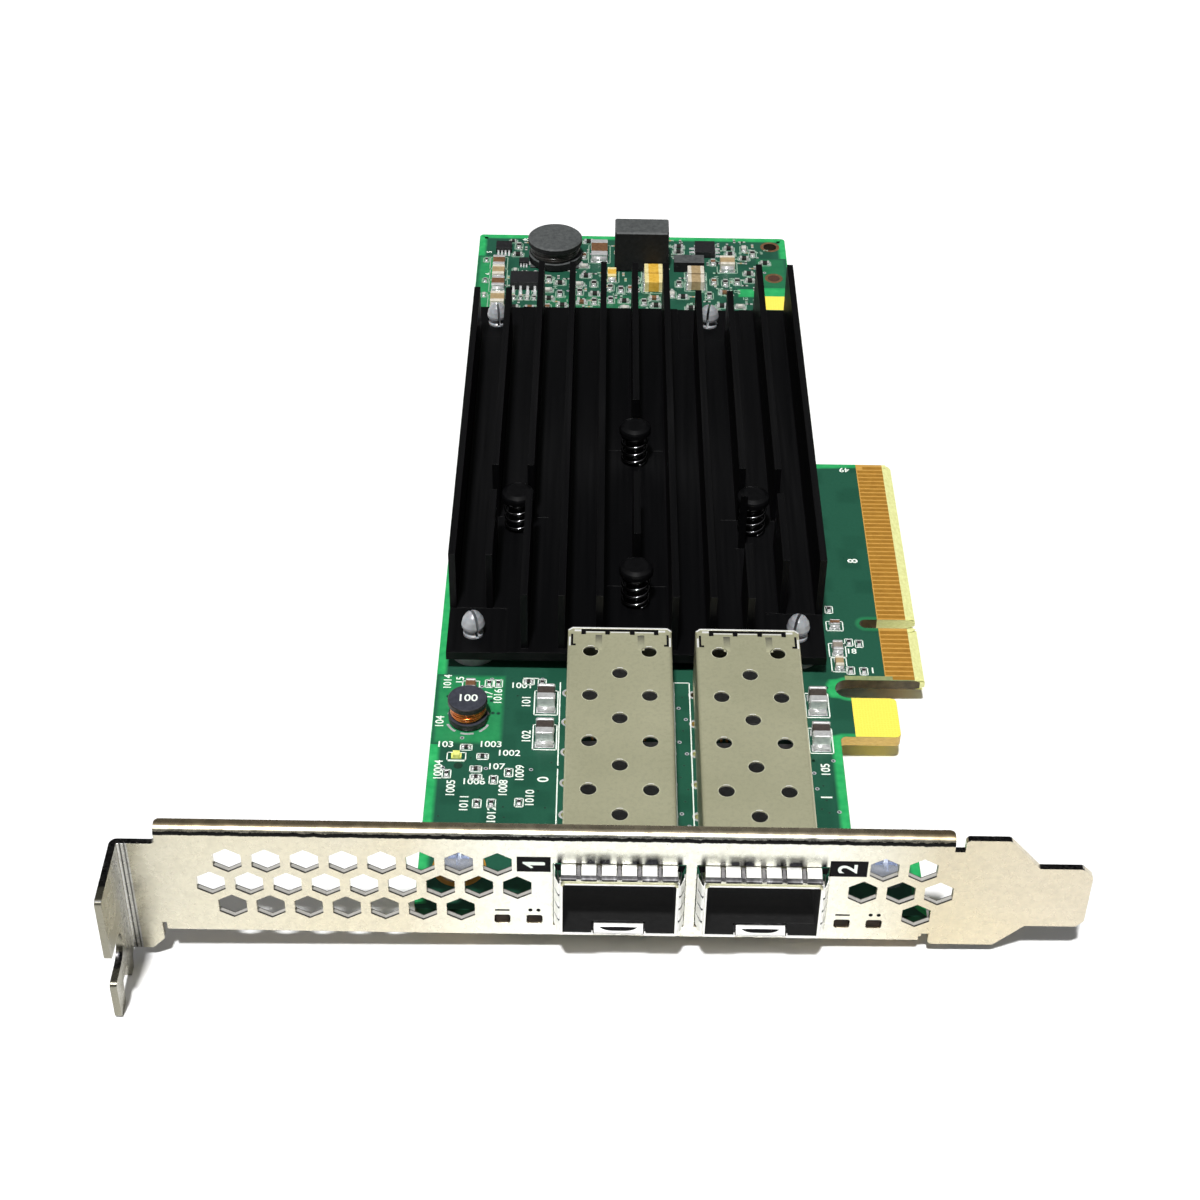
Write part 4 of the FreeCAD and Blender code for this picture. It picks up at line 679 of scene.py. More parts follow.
L, B, T = 167.65, 56.05, 68.9
OUT = (arc(0.8, 0.8, 0.8, 180, 270, 4) + [(64.35, 0)] + arc(63.55, 12.2, 0.8, 0, 90, 4) + [(B + 0.5, 13.0), (B, 13.5), (B, 32.4), (B + 0.5, 32.9)]
       + arc(63.6, 33.7, 0.8, -90, 0, 4) + arc(63.6, 40.15, 0.8, 0, 90, 4) + arc(57.925, 42.825, 1.875, -90, -270, 10)
       + [(T, 44.7), (T, 56.2)] + arc(61.6, 57.15, 0.95, -90, -270, 8) + [(T, 58.1)] + arc(T - 0.8, 96.75 - 0.8, 0.8, 0, 90, 4)
       + [(B + 0.02, 96.75), (B, 96.8)] + arc(B - 0.8, L - 0.8, 0.8, 0, 90, 4) + arc(0.8, L - 0.8, 0.8, 90, 180, 4))


def inset(pts, d):
    n = len(pts)
    out = []
    for i in range(n):
        a, b, c = Vector(pts[i - 1]), Vector(pts[i]), Vector(pts[(i + 1) % n])
        e1, e2 = (b - a), (c - b)
        if e1.length < 1e-6 or e2.length < 1e-6:
            e1 = e1 if e1.length > 1e-6 else e2
            e2 = e2 if e2.length > 1e-6 else e1
        n1, n2 = Vector((-e1.y, e1.x)).normalized(), Vector((-e2.y, e2.x)).normalized()
        s = n1 + n2
        if s.length < 1e-6:
            s = n1
        s.normalize()
        k = max(0.5, s.dot(n1))
        dd = d[i] if isinstance(d, list) else d
        out.append((b.x + s.x * dd / k, b.y + s.y * dd / k))
    return out


TH = 1.57
deck = Mesh()
slim = [x > 56.5 and 30.0 < y < 99.0 for x, y in OUT]
loops = [(inset(OUT, 0.02), 1.0), (inset(OUT, [0.42 if q else 0.95 for q in slim]), 1.0), (inset(OUT, [0.80 if q else 1.55 for q in slim]), 0.0)]
dimmed = [0.30 if (x > 60.0 and 55.5 < y < 58.8) else (0.75 if q else 1.0) for (x, y), q in zip(OUT, slim)]
for down, z in ((False, 0.008), (True, -TH - 0.008)):
    n = len(OUT)
    pts, gl = [], []
    for lp, gv in loops:
        pts += [(x, y, z) for x, y in lp]
        gl += [gv * (0.55 if down else 1.0) * dv for dv in dimmed]
    fs = []
    for k in range(2):
        for i in range(n):
            j = (i + 1) % n
            if min(OUT[i][0], OUT[j][0]) > 63.2 and min(OUT[i][1], OUT[j][1]) > 44.0:
                continue
            if max(OUT[i][1], OUT[j][1]) < 0.9:
                continue
            q4 = (k * n + i, k * n + j, (k + 1) * n + j, (k + 1) * n + i)
            fs.append(q4[::-1] if down else q4)
    deck.add(pts, fs, M_GLOW, glow=gl)


def soft_patch(x0, x1, y0, y1, z, strength=1.0, rim=0.7):
    pts = [(x0, y0, z), (x1, y0, z), (x1, y1, z), (x0, y1, z),
           (x0 + rim, y0 + rim, z), (x1 - rim, y0 + rim, z), (x1 - rim, y1 - rim, z), (x0 + rim, y1 - rim, z)]
    deck.add(pts, [(0, 1, 5, 4), (1, 2, 6, 5), (2, 3, 7, 6), (3, 0, 4, 7), (4, 5, 6, 7)], M_GLOW,
             glow=[0, 0, 0, 0, strength, strength, strength, strength])


soft_patch(0.1, 9.9, 30.2, 44.6, 0.0115, 0.5)
soft_patch(46.6, 49.9, 146.9, 149.9, 0.0115, 0.9, 0.4)
soft_patch(50.9, B - 0.1, 146.6, 150.6, 0.0115, 0.95, 0.6)
soft_patch(0.1, 3.4, 136.9, 160.0, 0.0115, 0.55)
soft_patch(50.2, 55.9, 150.0, 160.5, 0.0112, 0.22)
soft_patch(11.0, 30.0, 139.0, 147.0, 0.0112, 0.18)
deck.rect(51.45, 55.0, 142.9, 147.4, 0.016, M_FR4)
# bare laminate: retention tab, strip past the contacts, near rim of the connector
for down, z in ((False, 0.016), (True, -TH - 0.016)):
    deck.poly([(58.15, 32.95)] + arc(63.6, 33.7, 0.77, -90, 0, 4) + arc(63.6, 40.15, 0.77, 0, 90, 4) + [(58.15, 40.9)], z, M_FR4, down)
for down, z in ((False, 0.016), (True, -TH - 0.016)):
    deck.rect(63.30, 67.46, 45.6, 56.18, z, M_GAP, down)
    deck.rect(63.30, 67.46, 58.12, 96.7, z, M_GAP, down)
    deck.rect(57.6, 67.46, 44.72, 45.6, z, M_OLIVE, down)
deck.build("board_surface_zones")

# ------------------------------------------------------------------ printed marks, pads and vias
ink = Mesh()
ZI = 0.024


def line(x0, y0, x1, y1, w=0.17, z=ZI, m=None):
    d = Vector((x1 - x0, y1 - y0))
    n_ = Vector((-d.y, d.x)).normalized() * (w / 2)
    e = d.normalized() * (w / 2)
    ink.poly([(x0 - e.x - n_.x, y0 - e.y - n_.y), (x1 + e.x - n_.x, y1 + e.y - n_.y), (x1 + e.x + n_.x, y1 + e.y + n_.y), (x0 - e.x + n_.x, y0 - e.y + n_.y)], z, m or M_INK)


def frame_box(x, y, hx, hy, w=0.16):
    far = y > 138.0
    for a in (((-hx, -hy), (hx, -hy)), ((hx, -hy), (hx, hy)), ((hx, hy), (-hx, hy)), ((-hx, hy), (-hx, -hy))):
        line(x + a[0][0], y + a[0][1], x + a[1][0], y + a[1][1], w, m=M_INKDIM if far else M_INK)


pads = Mesh()
ZP = 0.02
chips = Mesh()
caps = Mesh()


def chip(mesh, x, y, lx, ly, hz, vertical, body, cf=0.24, fillet=0.16, pad=True, ch=0.05, end=None):
    """Chip part with plated ends, solder fillets and its pads."""
    end = end or M_SOLDER
    if vertical:
        ce = ly * cf
        mesh.box(x - lx / 2 + 0.02, x + lx / 2 - 0.02, y - ly / 2 + ce * 0.9, y + ly / 2 - ce * 0.9, 0.02, hz - 0.015, body, ch * 0.6)
        for s in (-1, 1):
            ya, yb = y + s * (ly / 2 - ce), y + s * (ly / 2)
            mesh.box(x - lx / 2, x + lx / 2, min(ya, yb), max(ya, yb), 0.02, hz, end, ch)
            mesh.wedge(x, yb, 0, s * fillet, lx * 0.42, hz * 0.7, M_SOLDER)
            if pad:
                pa, pb = y + s * (ly / 2 - ce * 0.9), y + s * (ly / 2 + fillet + 0.05)
                pads.rect(x - lx / 2 - 0.08, x + lx / 2 + 0.08, min(pa, pb), max(pa, pb), ZP, M_SOLDER)
    else:
        ce = lx * cf
        mesh.box(x - lx / 2 + ce * 0.9, x + lx / 2 - ce * 0.9, y - ly / 2 + 0.02, y + ly / 2 - 0.02, 0.02, hz - 0.015, body, ch * 0.6)
        for s in (-1, 1):
            xa, xb = x + s * (lx / 2 - ce), x + s * (lx / 2)
            mesh.box(min(xa, xb), max(xa, xb), y - ly / 2, y + ly / 2, 0.02, hz, end, ch)
            mesh.wedge(xb, y, s * fillet, 0, ly * 0.42, hz * 0.7, M_SOLDER)
            if pad:
                pa, pb = x + s * (lx / 2 - ce * 0.9), x + s * (lx / 2 + fillet + 0.05)
                pads.rect(min(pa, pb), max(pa, pb), y - ly / 2 - 0.08, y + ly / 2 + 0.08, ZP, M_SOLDER)


BIG = ((22.0, 161.1, 3.0, 5.4, 1.6, True, M_BROWN), (31.7, 153.25, 3.3, 3.1, 2.0, False, M_YELLOW), (31.75, 149.9, 3.3, 3.1, 2.0, False, M_YELLOW),
       (39.3, 153.4, 3.0, 2.6, 1.8, False, M_TAN), (39.25, 150.4, 3.0, 2.6, 1.8, False, M_TAN), (45.1, 157.1, 2.7, 3.0, 1.7, True, M_TAN),
       (24.3, 153.2, 1.6, 3.0, 1.2, True, M_YELLOW), (3.89, 157.35, 2.2, 3.2, 0.9, True, M_BROWN), (3.97, 153.5, 2.2, 3.2, 1.2, True, M_TAN),
       (4.05, 149.6, 2.3, 3.2, 1.2, True, M_BROWN), (4.15, 144.3, 2.5, 3.4, 1.2, True, M_TAN), (56.98, 56.5, 1.5, 1.1, 1.0, True, M_BROWN),
       (56.99, 51.1, 1.5, 2.0, 1.2, True, M_GREYCER), (57.0, 47.9, 1.25, 2.0, 1.0, True, M_TAN), (4.92, 41.75, 1.45, 2.0, 1.1, True, M_BROWN))
for x, y, lx, ly, hz, vert, m in BIG:
    chip(caps, x, y, lx - 0.04, ly - 0.04, hz - 0.01, vert, m, cf=0.24, fillet=0.22, ch=0.09, end=M_YTERM if m is M_YELLOW else (M_BTERM if m is M_TAN else M_SOLDER))
    if y < 60 or y > 140:
        frame_box(x, y, lx / 2 + 0.45, ly / 2 + 0.5)
o = caps.build("capacitor_set")
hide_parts("ceramic_capacitors")

V4, H4 = (0.55, 1.0, 0.38, True), (1.0, 0.55, 0.38, False)
V6, H6 = (0.85, 1.6, 0.50, True), (1.6, 0.85, 0.50, False)
SMALL = [((7.46, 42.73), V4), ((8.75, 42.76), V4), ((12.99, 43.21), H4), ((14.89, 43.03), V4), ((4.95, 29.64), H4),
         ((7.25, 27.87), H4), ((2.59, 24.42), V4), ((6.45, 25.43), H4), ((6.56, 23.82), H4), ((8.92, 23.38), V4),
         ((10.9, 24.81), V4), ((6.93, 18.87), V4), ((8.83, 18.91), V4), ((12.48, 19.14), V4), ((58.54, 46.72), V4),
         ((58.75, 52.85), V4), ((60.2, 52.6), V4), ((56.4, 60.2), V4), ((60.4, 46.6), V4),
         ((7.0, 145.6), V4), ((8.2, 145.6), V4), ((9.4, 145.6), V4), ((10.6, 145.6), V4), ((7.1, 142.3), H6), ((9.9, 142.2), H6),
         ((13.05, 152.0), V6), ((15.05, 150.7), H6), ((12.9, 148.2), H6), ((15.1, 147.0), V6), ((13.2, 145.4), H6), ((13.0, 142.4), V6),
         ((15.6, 143.2), H6), ((19.65, 153.3), H6), ((18.4, 150.4), H6), ((21.1, 150.6), V6), ((18.6, 147.8), V6), ((19.0, 144.3), H6),
         ((21.3, 147.2), H6), ((21.2, 144.6), V6), ((19.2, 156.6), H6), ((25.9, 148.7), V6), ((24.0, 149.4), V6), ((27.6, 149.0), V6),
         ((26.5, 144.9), H6), ((24.1, 145.2), V6), ((26.6, 142.6), H6), ((30.0, 144.6), V6), ((32.1, 143.6), H6), ((31.8, 146.0), H6),
         ((28.7, 152.0), V6), ((36.3, 151.0), V6), ((35.0, 147.4), V6), ((36.9, 146.6), H6), ((38.2, 142.9), H6), ((42.55, 151.9), V6),
         ((41.6, 147.2), V6), ((43.7, 143.8), H6), ((46.9, 143.6), H6), ((46.7, 152.0), V6), ((44.6, 151.6), V6), ((44.3, 148.2), H6),
         ((48.9, 154.9), H6), ((49.0, 152.4), H6), ((50.4, 147.2), V6), ((36.5, 164.0), H6), ((36.4, 162.2), H6), ((36.6, 160.2), V6),
         ((45.6, 163.6), H6), ((45.8, 161.6), H6), ((48.4, 163.6), V6), ((49.9, 161.9), V6), ((48.3, 160.2), H6), ((42.6, 158.6), V6),
         ((7.3, 163.4), V6), ((7.2, 160.4), H6), ((6.9, 154.9), V4), ((20.0, 165.4), H6), ((8.6, 154.2), H4), ((19.2, 160.2), V6),
         ((1.6, 158.4), V4), ((1.7, 151.3), V4), ((1.7, 146.4), V4), ((6.2, 165.2), H4), ((52.0, 158.6), H6), ((10.6, 154.0), V4)]
for k, ((x, y), kind) in enumerate(SMALL):
    body = M_RESBODY if (y < 60 or k % 3) else (M_WHITEC if k % 2 else M_BROWN)
    lx, ly, hz, vert = kind
    chip(chips, x, y, lx - 0.02, ly - 0.02, hz, vert, body, cf=0.26, fillet=0.13, ch=0.04, end=M_GREYEND if (y > 138 and k % 4) else None)
    frame_box(x, y, lx / 2 + 0.28, ly / 2 + 0.30, 0.15)
o = chips.build("chip_part_set")
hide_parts("chip_resistors")

# ferrite beads with broad plated ends
beads = Mesh()
for x, y in ((15.55, 38.9), (15.55, 31.9), (53.25, 39.2), (53.25, 32.0)):
    beads.box(x - 1.18, x + 1.18, y - 1.12, y + 1.12, 0.05, 2.22, M_BEAD, 0.14)
    for s in (-1, 1):
        ya, yb = y + s * (1.08 if s > 0 else 0.30), y + s * 1.6
        beads.box(x - 1.25, x + 1.25, min(ya, yb), max(ya, yb), 0.02, 2.3, M_SOLDER, 0.14)
        beads.wedge(x, yb, 0, s * 0.42, 1.12, 0.75, M_SOLDER)
        pads.rect(x - 1.35, x + 1.35, min(y + s * 0.9, y + s * 2.15), max(y + s * 0.9, y + s * 2.15), ZP, M_SOLDER)
    frame_box(x, y, 1.62, 2.5, 0.18)
o = beads.build("bead_set")
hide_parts("ferrite_beads")

# wound wire of the two open inductors
for node, name, x, y, r, z0, z1, wr, turns in (("drum_inductor_winding", "drum_wire", 4.92, 35.25, 2.28, 1.42, 2.88, 0.20, 4),
                                               ("large_inductor_winding", "large_wire", 14.0, 159.1, 4.2, 1.75, 3.25, 0.24, 4)):
    wmesh = Mesh()
    M_WIRE = M_COPPER if node.startswith("drum") else M_DARKWIRE
    for layer in range(2):
        rr = r - 0.36 * layer
        pts = []
        steps = 44
        for i in range(turns * steps + 1):
            a = 2 * math.pi * i / steps
            z = z0 + (z1 - z0) * i / (turns * steps)
            wob = 0.05 * math.sin(3.1 * a + layer) + 0.04 * math.sin(0.7 * a)
            pts.append((x + (rr + wob) * math.cos(a + layer), y + (rr + wob) * math.sin(a + layer), z + 0.03 * math.sin(2.3 * a)))
        wmesh.tube(pts, wr, M_WIRE, 8)
    # plain inner winding body behind the outer turns
    wmesh.lathe([(r - 0.62, z0 - 0.16), (r - 0.30, z0 - 0.16), (r - 0.22, z0 + 0.2), (r - 0.26, (z0 + z1) / 2), (r - 0.22, z1 - 0.2), (r - 0.30, z1 + 0.16), (r - 0.62, z1 + 0.16)], x, y, M_WIRE)
    o = wmesh.build(name)
    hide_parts(node)

# pin springs as smooth wound wire with closed end turns
PINS = ((27.95, 92.0), (27.95, 57.0), (10.45, 74.5), (45.45, 74.5))
coils = Mesh()
for x, y in PINS:
    pts = []
    za, zb, turns, per = 3.84, 8.86, 4.5, 36
    for i in range(int(turns * per) + 1):
        t = i / (turns * per)
        k = min(1.0, max(0.0, (t - 0.09) / 0.82))
        a = 2 * math.pi * turns * t - 1.2
        pts.append((x + 1.91 * math.cos(a), y + 1.91 * math.sin(a), za + (zb - za) * k))
    coils.tube(pts, 0.205, M_SPRING, 10)
o = coils.build("pin_coils")
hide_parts("pin_springs")

# pads round the board screws and the cage pins
for x, y in ((5.27, 7.30), (59.70, 7.30)):
    if x < 30:
        pads.disc(x, y, 1.62, 3.45, 0.018, M_GOLD, 40)
    pads.disc(x, y, 1.62, 3.95, -TH - 0.018, M_GOLD, 40, True)
for s_, pc in ((1, 25.63), (2, 43.23)):
    for side in (-1, 1):
        for y in (5.0, 11.0, 17.0, 23.0, 29.0, 35.0, 41.0):
            pads.disc(pc + side * 7.05, y, 0.53, 0.85, 0.018, M_SOLDER, 16)
            pads.disc(pc + side * 7.05, y, 0.40, 0.85, -TH - 0.018, M_SOLDER, 16, True)
            pads.lathe([(0.85, -TH - 0.02), (0.62, -TH - 0.16), (0.38, -TH - 0.40)], pc + side * 7.05, y, M_SOLDER, 14)
pads.disc(53.2, 164.6, 1.21, 1.75, 0.018, M_BROWN, 32)
pads.disc(53.35, 153.6, 1.11, 1.6, 0.018, M_BROWN, 32)
# painted shade: a dark disc laid over the hole
pads.disc(53.35, 153.6, 0.0, 1.08, 0.0128, M_HOLE_SHADE, 32)
pads.disc(4.05, 26.05, 0.0, 0.62, 0.018, M_VIA, 24)
pads.disc(46.4, 139.6, 0.0, 0.5, 0.018, M_SOLDER, 16)
# fine unfilled lands and tiny parts across the far area
for k in range(230):
    x, y = random.uniform(5.6, 51.0), random.uniform(138.9, 166.6)
    v = random.random() < 0.5
    for s in (-1, 1):
        cx_, cy_ = (x, y + s * 0.42) if v else (x + s * 0.42, y)
        pads.rect(cx_ - 0.22, cx_ + 0.22, cy_ - 0.22, cy_ + 0.22, 0.0215, M_GREYEND if k % 3 else M_INKDIM)
    pads.rect(x - 0.2, x + 0.2, y - 0.2, y + 0.2, 0.0212, M_RESBODY if k % 4 else M_TAN)
for a0, a1 in ((200, 236), (252, 288), (304, 340), (20, 60), (120, 160)):
    ring_pts = [(4.92 + r_ * math.cos(math.radians(a0 + (a1 - a0) * i / 8)), 35.25 + r_ * math.sin(math.radians(a0 + (a1 - a0) * i / 8))) for r_, rng in ((2.78, range(9)), (3.12, range(8, -1, -1))) for i in rng]
    pads.poly(ring_pts[::-1], 0.03, M_SOLDER)
for x0 in (6.85, 8.12, 9.39, 10.66):
    for y0 in (147.3, 153.1):
        pads.rect(x0 - 0.3, x0 + 0.3, y0 - 0.75, y0 + 0.75, ZP, M_SOLDER)
for i in range(4):
    x0 = 4.6 + (i - 1.5) * 0.65
    for y0 in (160.5, 164.2):
        pads.rect(x0 - 0.2, x0 + 0.2, y0 - 0.5, y0 + 0.5, ZP, M_SOLDER)
for y0 in (161.03, 162.3, 163.57):
    for x0 in (39.0, 43.4):
        pads.rect(x0 - 0.6, x0 + 0.6, y0 - 0.3, y0 + 0.3, ZP, M_SOLDER)
# shiny lands either side of the large inductor and the choke
pads.rect(17.4, 19.0, 156.9, 158.4, ZP, M_SOLDER)
pads.rect(9.0, 10.4, 156.9, 158.4, ZP, M_SOLDER)

# vias: between the cages, beside them and across the far area
vias = []
for k in range(16):
    vias.append((34.45 + 0.55 * math.sin(k * 2.1), 6.0 + 2.3 * k))
for k in range(70):
    vias.append((random.uniform(2.0, 54.0), random.uniform(138.6, 166.0)))
for k in range(46):
    vias.append((random.uniform(1.8, 17.0), random.uniform(3.0, 44.0)))
for k in range(30):
    vias.append((random.uniform(51.8, 55.0), random.uniform(2.0, 44.0)))
for k in range(40):
    vias.append((random.uniform(56.6, 62.4), random.uniform(60.0, 95.5)))
for x, y in vias:
    if 56.5 < x < 62.5 and y > 58.0:
        continue
    pads.disc(x, y, 0.16, 0.30, 0.0135, M_PAD if random.random() < 0.25 else M_GLOW, 10)
    pads.disc(x, y, 0.0, 0.16, 0.0135, M_VIA, 10)
for k in range(420):
    x, y = random.uniform(2.0, 54.0), random.uniform(12.0, 165.0)
    if any(abs(x - a) < 3.3 and abs(y - b) < 3.3 for a, b in ((5, 50), (51, 50), (4.8, 132), (41, 132), (28, 92), (28, 57), (10.5, 74.5), (45.5, 74.5))):
        continue
    pads.disc(x, y, 0.18, 0.33, -TH - 0.014, M_SOLDER if random.random() < 0.3 else M_GLOW, 8, True)
    pads.disc(x, y, 0.0, 0.18, -TH - 0.014, M_VIA, 8, True)
pads.build("pads_and_vias")

# printed lines and generic numbers
line(17.45, 26.4, 17.45, 43.2)
line(17.45, 2.0, 17.45, 25.6)
line(12.3, 44.0, 14.3, 44.0)
for xx in (33.35, 35.55):
    line(xx, 3.0, xx, 43.5, 0.16)
line(33.35, 43.5, 35.55, 43.5)
line(51.35, 3.0, 51.35, 43.5, 0.16)
line(2.7, 26.95, 4.75, 26.95, 0.2)
frame_box(3.72, 27.85, 1.25, 0.75)
NUM = [(12.03, 42.41, 0, "1001", 1.15), (12.84, 39.09, 90, "101", 1.2), (13.08, 31.95, 90, "102", 1.2), (10.75, 28.59, 0, "1002", 1.15),
       (8.2, 30.28, 0, "1003", 1.15), (2.04, 30.15, 0, "103", 1.15), (1.45, 25.13, 90, "10004", 1.1), (3.34, 21.66, 90, "1005", 1.15),
       (6.26, 22.98, 0, "1006", 1.15), (9.15, 25.93, 0, "107", 1.15), (10.31, 21.81, 90, "1008", 1.15), (12.43, 24.73, 90, "1009", 1.15),
       (13.92, 20.0, 90, "1010", 1.15), (5.27, 18.87, 90, "1011", 1.15), (9.0, 16.77, 90, "1012", 1.15), (15.6, 23.6, 90, "0", 1.5),
       (1.07, 34.71, 90, "104", 1.15), (1.66, 43.0, 90, "1014", 1.1), (3.39, 43.4, 90, "15", 1.1), (8.85, 40.04, 90, "1016", 1.15),
       (7.54, 40.37, 90, "17", 1.1), (53.35, 21.0, 90, "1", 1.5), (53.57, 26.27, 90, "105", 1.2), (60.92, 71.89, 90, "8", 1.5),
       (61.4, 95.28, 180, "49", 1.15), (58.97, 50.9, 0, "18", 1.1), (61.67, 46.9, 180, "1", 1.2),
       (13.5, 165.9, 0, "11", 0.9), (8.5, 165.9, 0, "40", 0.9), (2.0, 161.3, 90, "5", 0.9), (2.1, 153.6, 90, "6", 0.9)]
for x, y, a, s_, size in NUM:
    write(ink, s_, x, y, ZI, size, a, M_INK)
for k in range(70):
    x, y = random.uniform(6.0, 50.0), random.uniform(139.5, 154.0)
    write(ink, random.choice(["1", "2", "3", "4", "5", "6", "7", "8", "9", "10", "12", "14"]), x, y, 0.0225, 0.8, random.choice([0, 90]), M_INKDIM)
for k in range(24):
    x, y = random.uniform(33.5, 53.0), random.uniform(157.5, 166.0)
    write(ink, random.choice(["1", "2", "3", "5", "7", "8", "11", "14"]), x, y, 0.0225, 0.8, random.choice([0, 90]), M_INKDIM)
for k in range(60):
    x, y = random.uniform(4.0, 52.0), random.uniform(15.0, 162.0)
    write(ink, random.choice(["1", "2", "3", "5", "7", "8", "11", "14"]), x, y, -TH - 0.02, 0.9, random.choice([0, 90]), M_INK, "under")
# value mark on the small inductor's top
write(ink, "100", 4.92, 35.2, 4.012, 1.35, 0, M_INK)
# port numbers in their black boxes, on the bracket's outer face
YF = -1.43
for x0, x1, z0, z1, s_ in ((13.05, 17.2, 8.5, 11.1, "1"), (51.3, 55.9, 8.45, 11.15, "2")):
    y = YF - 0.012
    ink.add([(x0, y, z0), (x1, y, z0), (x1, y, z1), (x0, y, z1)], [(0, 1, 2, 3)], M_BLACK_PRINT_AND_SHADE)
    xc, zc = (x0 + x1) / 2, (z0 + z1) / 2
    if s_ == "1":
        for poly_ in ([(-1.36, 0.16), (-0.98, -0.14), (1.30, -0.14), (1.38, 0.0), (1.38, 0.26), (1.26, 0.42), (-1.36, 0.42)],
                      [(-0.98, -0.14), (-0.36, -0.66), (-0.12, -0.60), (-0.10, -0.46), (-0.46, -0.14)]):
            ink.add([(xc + a_, YF - 0.02, zc + b_) for a_, b_ in poly_], [tuple(range(len(poly_)))], M_INK)
    else:
        write(ink, s_, xc, YF - 0.02, zc, 2.35, 90, M_INK, "front")
# small plain marks over the lamp windows: a bar and a dot pair
for x in (11.17, 53.50):
    ink.add([(x - 0.9, YF - 0.012, 1.45), (x + 0.9, YF - 0.012, 1.45), (x + 0.9, YF - 0.012, 1.72), (x - 0.9, YF - 0.012, 1.72)], [(0, 1, 2, 3)], M_BLACK_PRINT_AND_SHADE)
for x in (15.17, 57.50):
    for dx in (-0.5, 0.5):
        ink.add([(x + dx + 0.27 * math.cos(a * math.pi / 6), YF - 0.012, 1.65 + 0.27 * math.sin(a * math.pi / 6)) for a in range(12)], [tuple(range(12))], M_BLACK_PRINT_AND_SHADE)
ink.build("printed_marks")

lens = Mesh()
for x in (11.17, 15.17, 53.50, 57.50):
    lens.box(x - 0.93, x + 0.93, -1.22, -0.60, -0.66, 0.70, M_LAMP, 0.12)
    lens.box(x - 0.93, x + 0.93, -0.60, -0.58, -0.66, 0.70, M_LAMP)
lens.build("lamp_windows")

